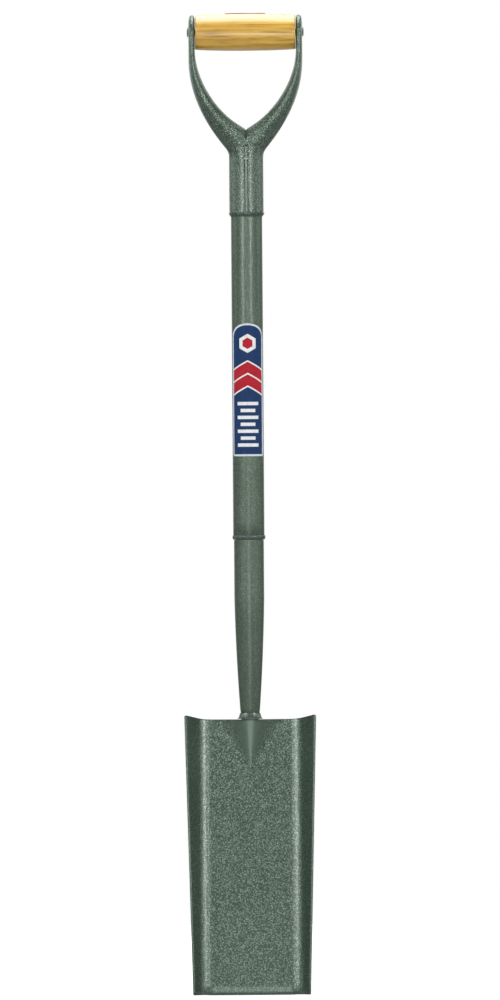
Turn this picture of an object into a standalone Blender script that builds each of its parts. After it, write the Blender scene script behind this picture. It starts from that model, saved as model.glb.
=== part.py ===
"""Cable laying shovel: a narrow steel blade on a tubular shaft with a riveted D handle.

Metres, +Z up along the shaft. The origin is the middle of the cutting edge's end face, and
the hollow face of the blade looks towards -Y.
"""

from math import asin, atan, cos, pi, radians, sin, sqrt, tan

import bmesh
import bpy
from mathutils import Vector

# Clearances
GAP = 0.0003
LABEL_GAP = 0.0002

# Blade plate
BLADE_LENGTH = 0.2840
BLADE_LIFT = radians(12.0)
PLATE_THICKNESS = 0.0022
FLOOR_HALF_WIDTH = 0.0380
BEND_RADIUS = 0.0190
WALL_ANGLE = radians(52.0)
RIM_HALF_WIDTH_TOP = 0.0671
RIM_HALF_WIDTH_EDGE = 0.0599
CORNER_RADIUS = 0.0012
EDGE_THICKNESS = 0.0011
EDGE_BEVEL = 0.0024
SIDE_CUT_REACH = 0.0300

# Tongue pressed forward over the socket's tail
TONGUE_RISE = 0.0115
TONGUE_HALF_WIDTH = 0.0420

# Socket
SOCKET_LENGTH = 0.1842
SOCKET_RADIUS = 0.0152
SOCKET_WALL = 0.0020
SOCKET_WAIST_RADIUS = 0.0101
SOCKET_STRAIGHT = 0.0620
SOCKET_WAIST_HEIGHT = 0.0080
SOCKET_FULLNESS = 0.55
SPIGOT_LENGTH = 0.0340
TAIL_LENGTH = 0.0590
TAIL_TIP_THICKNESS = 0.0042
TAIL_TIP_POWER = 5
TAIL_WELD_START = 0.05

# Shaft
SHAFT_LENGTH = 0.3835
SHAFT_RADIUS = 0.015875
SHAFT_WALL = 0.0016

# Hilt: the two arms with their half sleeves and eyes
SLEEVE_OVERLAP = 0.0540
SLEEVE_RADIUS = 0.0174
SLEEVE_TOP = 0.0610
CROTCH_RISE = 0.0235
EYE_RISE = 0.1215
EYE_RADIUS = 0.0175
EYE_THICKNESS = 0.0066
ARM_HALF_DEPTH = 0.0166
SHOULDER_DROP = 0.0280
INNER_DROP = 0.0150
RIDGE_SHARE = 0.44
ROOT_BLEND = 0.0040
MERGE_RISE = 0.0030

# Inner line of an arm: the share of its inward run that comes late, in the crotch's corner
CROTCH_SHARE = 0.155
CROTCH_POWER = 8

# Section of an arm, (1 - reach ** power) ** root: the plain arm and the eye's two sides
ARM_POWER = 2.0
ARM_ROOT = 0.50
EYE_OUTER_POWER = 4.0
EYE_OUTER_ROOT = 0.35
EYE_INNER_POWER = 5.0
EYE_INNER_ROOT = 0.25

# Grip and its rivet
GRIP_LENGTH = 0.1018
GRIP_RADIUS = 0.0190
GRIP_END_RADIUS = 0.0176
GRIP_END_ROUND = 0.0014
RIVET_RADIUS = 0.00325
RIVET_HEAD_RADIUS = 0.0052
RIVET_HEAD_HEIGHT = 0.0013

# Welds; the seam bead lies between two grooves in the sleeve, and ends above the root
SEAM_BEAD_WIDTH = 0.0022
SEAM_BEAD_PROUD = 0.0003
SEAM_GROOVE = 0.0008
SEAM_TOP = 0.0064
RING_BEAD_WIDTH = 0.0044
JOINT_RING_PROUD = 0.0009
HILT_RING_PROUD = 0.0017
FOOT_WELD_WIDTH = 0.0034
FOOT_WELD_HEIGHT = 0.0068
TAIL_BEAD_RADIUS = 0.0018

# Labels
LABEL_WIDTH = 0.0365
LABEL_HEIGHT = 0.1347
LABEL_ARCH = 0.0142
LABEL_THICKNESS = 0.0003
LABEL_DROP = 0.1667
GRIP_LABEL_LENGTH = 0.0410
GRIP_LABEL_FRONT = radians(8.0)
GRIP_LABEL_BACK = radians(128.0)

# Flat sides that stand for a full circle
ROUND_SIDES = 48

# Places that follow from the sizes
EDGE_DEPTH = PLATE_THICKNESS - EDGE_THICKNESS / 2
SHAFT_Y = BLADE_LENGTH * sin(BLADE_LIFT) - EDGE_DEPTH * cos(BLADE_LIFT)
TOP_EDGE_Z = BLADE_LENGTH * cos(BLADE_LIFT) + EDGE_DEPTH * sin(BLADE_LIFT)
JOINT_Z = TOP_EDGE_Z + SOCKET_LENGTH
SHAFT_BOTTOM_Z = JOINT_Z + GAP
SHAFT_TOP_Z = SHAFT_BOTTOM_Z + SHAFT_LENGTH
SLEEVE_BOTTOM_Z = SHAFT_TOP_Z - SLEEVE_OVERLAP
ROOT_Z = SLEEVE_BOTTOM_Z + SLEEVE_TOP
CROTCH_Z = ROOT_Z + CROTCH_RISE
EYE_Z = ROOT_Z + EYE_RISE
SLEEVE_BORE_RADIUS = SHAFT_RADIUS + GAP
SHAFT_BORE_RADIUS = SHAFT_RADIUS - SHAFT_WALL
SPIGOT_RADIUS = SHAFT_BORE_RADIUS - GAP
EYE_INNER_X = GRIP_LENGTH / 2 + GAP
EYE_OUTER_X = EYE_INNER_X + EYE_THICKNESS
TAIL_RADIUS = TONGUE_RISE - PLATE_THICKNESS - GAP
TAIL_TOP_Z = TOP_EDGE_Z + TONGUE_RISE * sin(BLADE_LIFT) + 2 * GAP
WAIST_Z = TAIL_TOP_Z + SOCKET_WAIST_HEIGHT
BEAD_SLOT_HALF = SEAM_BEAD_WIDTH / 2 + SEAM_GROOVE
SEAM_TOP_Z = ROOT_Z + SEAM_TOP
MERGE_Z = ROOT_Z + MERGE_RISE
TONGUE_LENGTH = TONGUE_RISE / tan(BLADE_LIFT)

# Steepest slope of the tongue's bell-shaped section, which sets clearances square to it
TONGUE_FLANK = atan(8.0 / sqrt(27.0) * TONGUE_RISE / TONGUE_HALF_WIDTH)

PAINT = {"color": (0.105, 0.135, 0.110, 1.0), "roughness": 0.42, "metallic": 0.35}
WOOD = {"color": (0.56, 0.35, 0.13, 1.0), "roughness": 0.45, "metallic": 0.0}
LABEL = {"color": (0.01, 0.03, 0.12, 1.0), "roughness": 0.30, "metallic": 0.0}
LABEL_RED = {"color": (0.46, 0.01, 0.02, 1.0), "roughness": 0.30, "metallic": 0.0}


def clear_scene():
    """Remove the objects that a new Blender file starts with."""
    for obj in list(bpy.data.objects):
        bpy.data.objects.remove(obj, do_unlink=True)


def material(name, finish):
    """A Principled material with one plain finish."""
    mat = bpy.data.materials.new(name)
    mat.use_nodes = True
    shader = mat.node_tree.nodes["Principled BSDF"]
    shader.inputs["Base Color"].default_value = finish["color"]
    shader.inputs["Roughness"].default_value = finish["roughness"]
    shader.inputs["Metallic"].default_value = finish["metallic"]
    return mat


def add_object(name, bm, finish, sharp=radians(35.0)):
    """Turn a bmesh into a named object with its own material."""
    bmesh.ops.recalc_face_normals(bm, faces=bm.faces)
    mesh = bpy.data.meshes.new(name)
    bm.to_mesh(mesh)
    bm.free()
    mesh.shade_smooth()
    mesh.set_sharp_from_angle(angle=sharp)
    obj = bpy.data.objects.new(name, mesh)
    obj.data.materials.append(material(name, finish))
    bpy.context.scene.collection.objects.link(obj)
    return obj


def smooth_step(low, high, value):
    """0 below low, 1 above high and an even ease between them."""
    share = min(1.0, max(0.0, (value - low) / (high - low)))
    return share * share * (3.0 - 2.0 * share)


def mix(a, b, share):
    """A value between a and b."""
    return a + (b - a) * share


def loft(bm, rings):
    """Skin a run of rings that have equal counts of points, and close both ends."""
    loops = [[bm.verts.new(p) for p in ring] for ring in rings]
    count = len(loops[0])
    for low, high in zip(loops, loops[1:]):
        for i in range(count):
            j = (i + 1) % count
            bm.faces.new((low[i], low[j], high[j], high[i]))
    bm.faces.new(loops[0])
    bm.faces.new(loops[-1])


def turned(bm, profile, centre, axis, steps, closed):
    """Spin a profile of (radius, height) pairs round an axis; closed profiles make rings."""
    axis = Vector(axis)
    side = Vector((1.0, 0.0, 0.0)) if abs(axis.z) > 0.5 else Vector((0.0, 0.0, 1.0))
    verts = [bm.verts.new(Vector(centre) + side * r + axis * h) for r, h in profile]
    edges = [bm.edges.new(pair) for pair in zip(verts, verts[1:])]
    if closed:
        edges.append(bm.edges.new((verts[-1], verts[0])))
    bmesh.ops.spin(
        bm,
        geom=verts + edges,
        cent=centre,
        axis=axis,
        angle=2 * pi,
        steps=steps,
        use_merge=True,
    )
    bmesh.ops.remove_doubles(bm, verts=bm.verts, dist=1e-6)


def on_plate(x, along, out):
    """World point of the blade: across, along the plate from the edge, and forward of its front."""
    y = along * sin(BLADE_LIFT) - (out + EDGE_DEPTH) * cos(BLADE_LIFT)
    z = along * cos(BLADE_LIFT) + (out + EDGE_DEPTH) * sin(BLADE_LIFT)
    return Vector((x, y, z))


def axis_out(along):
    """How far the shaft's axis lies in front of the plate's front face at a place along it."""
    return (along - BLADE_LENGTH) * tan(BLADE_LIFT)


def tongue_share(along):
    """Height of the tongue's crest as a share of its rise: 1 at the top edge, 0 at its tip."""
    return max(0.0, 1.0 + axis_out(along) / TONGUE_RISE)


def front_height(x, along):
    """Height of the plate's front face over its flat floor: a bell that narrows to the tip."""
    share = tongue_share(along)
    reach = abs(x) / (TONGUE_HALF_WIDTH * max(share, 1e-6))
    return TONGUE_RISE * share * max(0.0, 1.0 - reach * reach) ** 2


def back_height(x, along):
    """Height of the plate's back face over the flat floor, a full thickness behind the front."""
    step = 0.0001
    slope = (front_height(x + step, along) - front_height(x - step, along)) / (2 * step)
    return front_height(x, along) - PLATE_THICKNESS * sqrt(1.0 + slope * slope)


def level_along(x, out, along):
    """Place along the plate, drawn so that the sides' lower ends and the tongue's end are cut level."""
    if along < SIDE_CUT_REACH:
        lower_end = -max(0.0, out) * tan(BLADE_LIFT)
        return mix(lower_end, SIDE_CUT_REACH, along / SIDE_CUT_REACH)
    start = BLADE_LENGTH - 2 * TONGUE_RISE
    if along <= start:
        return along
    end = BLADE_LENGTH
    for _ in range(4):
        end = BLADE_LENGTH - front_height(x, end) * tan(BLADE_LIFT)
    return mix(start, end, (along - start) / (BLADE_LENGTH - start))


def soft_max(a, b, blend):
    """The larger of two heights, with a fillet where they meet."""
    near = max(0.0, 1.0 - abs(a - b) / blend)
    return max(a, b) + near * near * blend / 4


def section_point(arc, depth):
    """Cross section of the plate: floor, bend and straight side, at a depth behind the front."""
    side = 1.0 if arc >= 0 else -1.0
    arc = abs(arc)
    bend_arc = BEND_RADIUS * WALL_ANGLE
    turn = min(max((arc - FLOOR_HALF_WIDTH) / BEND_RADIUS, 0.0), WALL_ANGLE)
    straight = max(0.0, arc - FLOOR_HALF_WIDTH - bend_arc)
    x = min(arc, FLOOR_HALF_WIDTH) + BEND_RADIUS * sin(turn) + straight * cos(turn)
    out = BEND_RADIUS * (1 - cos(turn)) + straight * sin(turn)
    return side * (x + depth * sin(turn)), out - depth * cos(turn)


def rim_arc(along):
    """Length of the section from its middle to the rim at a place along the plate."""
    share = along / BLADE_LENGTH
    half = mix(RIM_HALF_WIDTH_EDGE, RIM_HALF_WIDTH_TOP, share)
    half -= PLATE_THICKNESS * sin(WALL_ANGLE)
    bend_x = FLOOR_HALF_WIDTH + BEND_RADIUS * sin(WALL_ANGLE)
    straight = (half - bend_x) / cos(WALL_ANGLE)
    ends = min(along, BLADE_LENGTH - along)
    if ends < CORNER_RADIUS:
        inset = CORNER_RADIUS - ends
        straight -= CORNER_RADIUS - sqrt(CORNER_RADIUS**2 - inset**2)
    return FLOOR_HALF_WIDTH + BEND_RADIUS * WALL_ANGLE + straight


def blade_columns():
    """Places across the plate: a share of the floor, the bend or the straight side."""
    floor = [("floor", i / 18) for i in range(18)]
    bend = [("bend", i / 7) for i in range(7)]
    wall = [("wall", share) for share in (0.0, 0.5, 1.0)]
    return floor + bend + wall


def blade_rows():
    """Places along the plate, closer together at the ends and along the tongue."""
    corner = [CORNER_RADIUS * (1 - cos(pi / 2 * i / 4)) for i in range(5)]
    corner.insert(4, EDGE_BEVEL)
    tongue_start = BLADE_LENGTH - TONGUE_LENGTH
    plain = [mix(CORNER_RADIUS, tongue_start, i / 5) for i in range(1, 6)]
    top = BLADE_LENGTH - CORNER_RADIUS
    tongue = [mix(tongue_start, top, i / 14) for i in range(1, 15)]
    end = [BLADE_LENGTH - CORNER_RADIUS * (1 - sin(pi / 2 * i / 4)) for i in range(1, 5)]
    return sorted(set(corner)) + plain + tongue + end


def blade_side(bm, front):
    """One face of the plate as a grid of points, and the grid's vertices by row."""
    columns = blade_columns()
    arcs = []
    for along in blade_rows():
        bend_arc = BEND_RADIUS * WALL_ANGLE
        wall_arc = rim_arc(along) - FLOOR_HALF_WIDTH - bend_arc
        half = []
        for zone, value in columns:
            if zone == "floor":
                half.append(FLOOR_HALF_WIDTH * value)
            elif zone == "bend":
                half.append(FLOOR_HALF_WIDTH + bend_arc * value)
            else:
                half.append(FLOOR_HALF_WIDTH + bend_arc + wall_arc * value)
        arcs.append([-a for a in reversed(half[1:])] + half)
    grid = bmesh.ops.create_grid(
        bm, x_segments=len(arcs[0]) - 1, y_segments=len(arcs) - 1, size=1.0
    )["verts"]
    rows = []
    ordered = sorted(grid, key=lambda v: (round(v.co.y, 5), round(v.co.x, 5)))
    for r, along in enumerate(blade_rows()):
        row = ordered[r * len(arcs[0]) : (r + 1) * len(arcs[0])]
        for vert, arc in zip(row, arcs[r]):
            depth = 0.0 if front else PLATE_THICKNESS
            if front and along < EDGE_BEVEL:
                depth = (PLATE_THICKNESS - EDGE_THICKNESS) * (1 - along / EDGE_BEVEL)
            x, out = section_point(arc, depth)
            place = level_along(x, out, along)
            lift = front_height(x, place) if front else back_height(x, place) + PLATE_THICKNESS
            vert.co = on_plate(x, place, out + lift)
        rows.append(row)
    return rows


def make_blade():
    """The pressed plate: both faces as shaped grids, joined round the outline."""
    bm = bmesh.new()
    front = blade_side(bm, True)
    back = blade_side(bm, False)
    for low in (0, len(front) - 1):
        for i in range(len(front[0]) - 1):
            bm.faces.new((front[low][i], front[low][i + 1], back[low][i + 1], back[low][i]))
    for side in (0, len(front[0]) - 1):
        for r in range(len(front) - 1):
            a, b = front[r][side], front[r + 1][side]
            bm.faces.new((a, b, back[r + 1][side], back[r][side]))
    return add_object("blade_plate", bm, PAINT, radians(28.0))


def socket_radius(z):
    """Outer radius of the socket between the blade's top edge and the joint with the shaft."""
    straight_z = JOINT_Z - SOCKET_STRAIGHT
    if z >= WAIST_Z:
        share = min(1.0, (z - WAIST_Z) / (straight_z - WAIST_Z))
        ease = share + SOCKET_FULLNESS * share * (1 - share)
        return mix(SOCKET_WAIST_RADIUS, SOCKET_RADIUS, ease)
    return mix(TAIL_RADIUS, SOCKET_WAIST_RADIUS, smooth_step(TAIL_TOP_Z, WAIST_Z, z))


def tail_half_width(share):
    """Half width of the socket's tail, from its full width to its round tip."""
    return TAIL_RADIUS * sqrt(max(0.0, 1.0 - share**TAIL_TIP_POWER))


def tail_ring(share, sides):
    """Section of the tail square to the plate, pressed flat where it would enter the plate."""
    along = BLADE_LENGTH - TAIL_LENGTH * share
    reach = TAIL_RADIUS / cos(BLADE_LIFT)
    clear = GAP / cos(TONGUE_FLANK)
    front = min(axis_out(along) + reach, back_height(0.0, along) - clear)
    back = mix(axis_out(along) - reach, -PLATE_THICKNESS - TAIL_TIP_THICKNESS, share**1.5)
    ring = []
    for i in range(sides):
        angle = 2 * pi * i / sides
        x = tail_half_width(share) * sin(angle)
        out = (front + back) / 2 + (front - back) / 2 * cos(angle)
        ring.append(on_plate(x, along, min(out, back_height(x, along) - clear)))
    return ring


def ring_points(radius, z, sides):
    """Points of a level ring round the shaft's axis, starting at the front."""
    return [
        Vector((radius * sin(2 * pi * i / sides), SHAFT_Y - radius * cos(2 * pi * i / sides), z))
        for i in range(sides)
    ]


def make_socket():
    """Tapered tube: a spigot for the shaft, a blind bore, and a flattened tail on the blade."""
    sides = 36
    bm = bmesh.new()
    rings = [tail_ring(sin(radians(86.0) * i / 12), sides) for i in range(12, -1, -1)]
    outer = [mix(TAIL_TOP_Z, WAIST_Z, i / 3) for i in range(4)]
    straight_z = JOINT_Z - SOCKET_STRAIGHT
    outer += [mix(outer[-1], straight_z, i / 6) for i in range(1, 7)]
    shoulder = JOINT_Z - RING_BEAD_WIDTH / 2 - GAP
    outer.append(shoulder)
    rings += [ring_points(socket_radius(z), z, sides) for z in outer]
    rings.append(ring_points(SPIGOT_RADIUS, shoulder, sides))
    spigot_top = SHAFT_BOTTOM_Z + SPIGOT_LENGTH
    rings.append(ring_points(SPIGOT_RADIUS, spigot_top, sides))
    bore = SPIGOT_RADIUS - SOCKET_WALL
    rings.append(ring_points(bore, spigot_top, sides))
    bore_bottom = TOP_EDGE_Z + 3 * SOCKET_WAIST_HEIGHT
    for z in [straight_z] + [mix(straight_z, bore_bottom, i / 4) for i in range(1, 5)]:
        rings.append(ring_points(min(bore, socket_radius(z) - SOCKET_WALL), z, sides))
    loft(bm, rings)
    return add_object("socket", bm, PAINT)


def make_shaft():
    """Plain round tube, open at both ends."""
    bm = bmesh.new()
    profile = [
        (SHAFT_BORE_RADIUS, SHAFT_BOTTOM_Z),
        (SHAFT_RADIUS, SHAFT_BOTTOM_Z),
        (SHAFT_RADIUS, SHAFT_TOP_Z),
        (SHAFT_BORE_RADIUS, SHAFT_TOP_Z),
    ]
    turned(bm, profile, (0, SHAFT_Y, 0), (0, 0, 1), ROUND_SIDES, True)
    return add_object("shaft_tube", bm, PAINT)


def make_joint_weld():
    """Ring bead in the gap between the shaft's lower end and the socket's shoulder."""
    low = JOINT_Z - RING_BEAD_WIDTH / 2
    high = SHAFT_BOTTOM_Z - GAP
    foot = SHAFT_RADIUS + GAP
    profile = [(SPIGOT_RADIUS + GAP, low), (SPIGOT_RADIUS + GAP, high), (foot, high)]
    top = low + RING_BEAD_WIDTH
    for i in range(8):
        angle = pi * i / 7
        radius = mix(foot, SOCKET_RADIUS, i / 7) + JOINT_RING_PROUD * sin(angle)
        profile.append((radius, mix(top, low, (1 - cos(angle)) / 2)))
    bm = bmesh.new()
    turned(bm, profile, (0, SHAFT_Y, 0), (0, 0, 1), ROUND_SIDES, True)
    return add_object("shaft_socket_weld", bm, PAINT)


def make_hilt_ring_weld():
    """Ring bead round the shaft, just under the sleeve."""
    low = SLEEVE_BOTTOM_Z - GAP - RING_BEAD_WIDTH
    profile = []
    for i in range(9):
        angle = pi * i / 8
        radius = SLEEVE_BORE_RADIUS + HILT_RING_PROUD * sin(angle)
        profile.append((radius, low + RING_BEAD_WIDTH * (1 - cos(angle)) / 2))
    bm = bmesh.new()
    turned(bm, profile, (0, SHAFT_Y, 0), (0, 0, 1), ROUND_SIDES, True)
    return add_object("hilt_ring_weld", bm, PAINT)


def arm_outer(z):
    """Outer line of an arm seen from the front: a parabola from the sleeve to the shoulder."""
    shoulder_z = EYE_Z - SHOULDER_DROP
    if z >= shoulder_z:
        return EYE_OUTER_X
    share = (shoulder_z - z) / (shoulder_z - ROOT_Z)
    spread = mix(EYE_OUTER_X, SLEEVE_RADIUS, share * share)
    return soft_max(spread, SLEEVE_RADIUS, ROOT_BLEND)


def arm_inner(z):
    """Inner line of an arm, which runs past the middle below the crotch."""
    inner_z = EYE_Z - INNER_DROP
    if z >= inner_z:
        return EYE_INNER_X
    share = (inner_z - z) / (inner_z - CROTCH_Z)
    run = mix(share**2, share**CROTCH_POWER, CROTCH_SHARE)
    return EYE_INNER_X * (1 - run)


def arm_ridge(z):
    """Distance of an arm's front and rear edges from the middle, where they merge below the crotch."""
    open_z = max(z, CROTCH_Z)
    ridge = mix(arm_inner(open_z), arm_outer(open_z), RIDGE_SHARE)
    share = min(1.0, max(0.0, (z - MERGE_Z) / (CROTCH_Z - MERGE_Z)))
    return max(GAP / 2, ridge * share)


def arm_half_depth(z):
    """Half of an arm's depth from front to back."""
    low = mix(SLEEVE_RADIUS, ARM_HALF_DEPTH, smooth_step(ROOT_Z, EYE_Z - 2 * EYE_RADIUS, z))
    depth = mix(low, EYE_RADIUS, smooth_step(EYE_Z - 2 * EYE_RADIUS, EYE_Z, z))
    rise = max(0.0, z - EYE_Z)
    return min(depth, sqrt(max(EYE_RADIUS**2 - rise**2, 1e-9)))


def bulge(reach, z, inner):
    """Share of the full thickness at a reach of 0 in the middle to 1 at the arm's edge."""
    eye = smooth_step(EYE_Z - 2 * EYE_RADIUS, EYE_Z - 0.7 * EYE_RADIUS, z)
    power = mix(ARM_POWER, EYE_INNER_POWER if inner else EYE_OUTER_POWER, eye)
    root = mix(ARM_ROOT, EYE_INNER_ROOT if inner else EYE_OUTER_ROOT, eye)
    return max(0.0, 1.0 - min(1.0, reach) ** power) ** root


def arm_reach(y, z, depth):
    """How far a point of the section lies from the arm's middle, round the eye too."""
    rise = max(0.0, z - EYE_Z)
    if rise > 0:
        return sqrt(y * y + rise * rise) / EYE_RADIUS
    return abs(y) / depth


def arm_section(z, side):
    """Closed section of an arm at one height: outer side front to rear, inner side back again."""
    points = 15
    depth = arm_half_depth(z)
    outer, inner, ridge = arm_outer(z), arm_inner(z), arm_ridge(z)
    bored = z <= SHAFT_TOP_Z + GAP
    slotted = z <= SEAM_TOP_Z
    section = []
    for i in range(points):
        angle = pi * i / (points - 1)
        if slotted:
            start = asin(BEAD_SLOT_HALF / SLEEVE_RADIUS)
            angle = mix(start, pi - start, i / (points - 1))
            x = outer * sin(angle)
            y = -depth * cos(angle)
        else:
            y = -depth * cos(angle)
            x = ridge + (outer - ridge) * bulge(arm_reach(y, z, depth), z, False)
        section.append((x, y))
    back = []
    for i in range(points):
        share = i / (points - 1)
        if bored:
            start = asin(BEAD_SLOT_HALF / SLEEVE_BORE_RADIUS)
            angle = mix(start, pi - start, share)
            x = SLEEVE_BORE_RADIUS * sin(angle)
            y = -SLEEVE_BORE_RADIUS * cos(angle)
        elif slotted:
            lead = 0.06
            y = mix(-SLEEVE_BORE_RADIUS, SLEEVE_BORE_RADIUS, (share - lead) / (1 - 2 * lead))
            y = min(SLEEVE_BORE_RADIUS, max(-SLEEVE_BORE_RADIUS, y))
            x = BEAD_SLOT_HALF if i in (0, points - 1) else GAP / 2
        else:
            y = -depth * 0.999 * cos(pi * share)
            bent = ridge - (ridge - inner) * bulge(arm_reach(y, z, depth), z, True)
            x = max(GAP / 2, bent)
        back.append((x, y))
    section += reversed(back)
    return [Vector((side * x, SHAFT_Y + y, z)) for x, y in section]


def arm_heights():
    """Heights of an arm's sections: sleeve, root, arm and the round of the eye."""
    bore_end = SHAFT_TOP_Z + GAP
    heights = [SLEEVE_BOTTOM_Z, mix(SLEEVE_BOTTOM_Z, bore_end, 0.5), bore_end]
    heights += [bore_end + 2 * GAP + 0.001, ROOT_Z, mix(ROOT_Z, SEAM_TOP_Z, 0.5), SEAM_TOP_Z]
    arm_start = SEAM_TOP_Z + 0.0015
    heights += [mix(arm_start, EYE_Z, i / 18) for i in range(19)]
    heights += [EYE_Z + EYE_RADIUS * sin(radians(86.0) * i / 7) for i in range(1, 8)]
    return heights


def make_arm(name, side):
    """One pressed half of the hilt, with its half sleeve, arm and eye."""
    bm = bmesh.new()
    loft(bm, [arm_section(z, side) for z in arm_heights()])
    arm = add_object(name, bm, PAINT)
    cutter = bmesh.new()
    reach = EYE_THICKNESS
    profile = [(0, -reach), (RIVET_RADIUS + GAP, -reach), (RIVET_RADIUS + GAP, reach), (0, reach)]
    centre = (side * (EYE_INNER_X + EYE_OUTER_X) / 2, SHAFT_Y, EYE_Z)
    turned(cutter, profile, centre, (1, 0, 0), 24, False)
    drill = add_object(name + "_drill", cutter, PAINT)
    drill.hide_render = True
    drill.display_type = "WIRE"
    cut = arm.modifiers.new("rivet_hole", "BOOLEAN")
    cut.operation = "DIFFERENCE"
    cut.solver = "EXACT"
    cut.object = drill
    return arm


def make_seam_weld(name, side):
    """Bead in the slot between the two arms; side is -1 in front and 1 behind."""
    bm = bmesh.new()
    half = SEAM_BEAD_WIDTH / 2
    low_radius = SLEEVE_BORE_RADIUS
    high_radius = SLEEVE_RADIUS + SEAM_BEAD_PROUD
    start = SLEEVE_BOTTOM_Z + GAP
    rings = []
    for i in range(13):
        z = mix(start, SEAM_TOP_Z, i / 12)
        taper = sqrt(max(0.0, 1 - (i / 12) ** 12)) * 0.8 + 0.2
        ring = []
        for k in range(9):
            angle = pi * k / 8
            x = -half * taper * cos(angle)
            lift = (high_radius - low_radius - GAP) * (0.75 * taper + 0.25 * sin(angle))
            ring.append((x, low_radius + GAP + lift))
        for k in range(9):
            x = half * taper * cos(pi * k / 8)
            ring.append((x, low_radius + GAP))
        rings.append([Vector((x, SHAFT_Y + side * y, z)) for x, y in ring])
    loft(bm, rings)
    return add_object(name, bm, PAINT)


def grip_radius(x):
    """Radius of the barrel-shaped grip at a distance from its middle."""
    share = abs(x) / (GRIP_LENGTH / 2)
    return mix(GRIP_RADIUS, GRIP_END_RADIUS, share**2.4)


def make_grip():
    """Turned wooden barrel with a through bore for the rivet."""
    half = GRIP_LENGTH / 2
    bore = RIVET_RADIUS + GAP
    profile = [(bore, -half)]
    for i in range(4):
        angle = pi / 2 * i / 3
        inset = GRIP_END_ROUND * (1 - sin(angle))
        x = -half + GRIP_END_ROUND * (1 - cos(angle))
        profile.append((grip_radius(x) - inset, x))
    profile += [(grip_radius(x), x) for x in [mix(-half, half, i / 10) for i in range(1, 10)]]
    for i in range(3, -1, -1):
        angle = pi / 2 * i / 3
        inset = GRIP_END_ROUND * (1 - sin(angle))
        x = half - GRIP_END_ROUND * (1 - cos(angle))
        profile.append((grip_radius(x) - inset, x))
    profile.append((bore, half))
    bm = bmesh.new()
    turned(bm, profile, (0, SHAFT_Y, EYE_Z), (1, 0, 0), 40, True)
    return add_object("grip", bm, WOOD)


def make_rivet():
    """Pin through both eyes and the grip, with a domed head on each outer face."""
    seat = EYE_OUTER_X + GAP
    dome = []
    for i in range(6):
        angle = pi / 2 * i / 5
        dome.append((RIVET_HEAD_RADIUS * cos(angle), seat + RIVET_HEAD_HEIGHT * sin(angle)))
    dome[-1] = (0.0, seat + RIVET_HEAD_HEIGHT)
    profile = [(RIVET_RADIUS, 0.0), (RIVET_RADIUS, seat)] + dome
    profile = [(r, -x) for r, x in reversed(profile[1:])] + profile[1:]
    bm = bmesh.new()
    turned(bm, profile, (0, SHAFT_Y, EYE_Z), (1, 0, 0), 24, False)
    return add_object("grip_rivet", bm, PAINT)


def bead_along(name, path, radius):
    """Round weld bead along a run of points, as a filled curve made into a mesh."""
    curve = bpy.data.curves.new(name, "CURVE")
    curve.dimensions = "3D"
    curve.bevel_depth = radius
    curve.bevel_resolution = 2
    curve.use_fill_caps = True
    spline = curve.splines.new("POLY")
    spline.points.add(len(path) - 1)
    for point, place in zip(spline.points, path):
        point.co = (place.x, place.y, place.z, 1.0)
    curve.materials.append(material(name, PAINT))
    obj = bpy.data.objects.new(name, curve)
    bpy.context.scene.collection.objects.link(obj)
    return obj


def foot_weld_section(angle):
    """Fillet section of the foot weld at one angle round the socket, from its front."""
    across, ahead = sin(angle), -cos(angle)
    points = []
    for radius, rise in (
        (0.0, 0.0),
        (0.0, FOOT_WELD_HEIGHT),
        (0.16, 0.96 * FOOT_WELD_HEIGHT),
        (0.28, 0.70 * FOOT_WELD_HEIGHT),
        (0.48, 0.42 * FOOT_WELD_HEIGHT),
        (0.76, 0.22 * FOOT_WELD_HEIGHT),
        (1.0, 0.10 * FOOT_WELD_HEIGHT),
        (1.0, 0.0),
    ):
        reach = SOCKET_WAIST_RADIUS + GAP + radius * FOOT_WELD_WIDTH
        y = SHAFT_Y + reach * ahead
        points.append(Vector((reach * across, y, TOP_EDGE_Z + GAP + rise)))
    return points


def make_foot_weld():
    """Fillet weld on the tongue's top edge, round the front and sides of the socket."""
    bm = bmesh.new()
    reach = radians(98.0)
    loft(bm, [foot_weld_section(mix(-reach, reach, i / 22)) for i in range(23)])
    return add_object("socket_foot_weld", bm, PAINT)


def make_tail_weld():
    """Bead on the back of the plate, down one side of the tail, round its tip and up again."""
    half = []
    for i in range(13):
        angle = radians(89.0) * i / 12
        share = mix(TAIL_WELD_START, 1.0, sin(angle))
        step = 0.001
        width, length = tail_half_width(share), BLADE_LENGTH - TAIL_LENGTH * share
        slope_x = tail_half_width(share - step) - width
        slope_a = TAIL_LENGTH * step
        size = sqrt(slope_x**2 + slope_a**2)
        offset = TAIL_BEAD_RADIUS + GAP
        x = width + offset * slope_a / size
        along = length - offset * slope_x / size
        out = back_height(x, along) - (TAIL_BEAD_RADIUS + GAP) / cos(TONGUE_FLANK)
        half.append((x, along, out))
    path = [on_plate(-x, along, out) for x, along, out in half]
    path += [on_plate(x, along, out) for x, along, out in reversed(half)]
    return bead_along("tail_weld", path, TAIL_BEAD_RADIUS)


def wrapped_sheet(name, rows, finish):
    """Closed thin sheet from rows of (inner, outer) point pairs."""
    bm = bmesh.new()
    rings = []
    for row in rows:
        inner = [pair[0] for pair in row]
        outer = [pair[1] for pair in row]
        rings.append(outer + inner[::-1])
    loft(bm, rings)
    return add_object(name, bm, finish)


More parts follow.
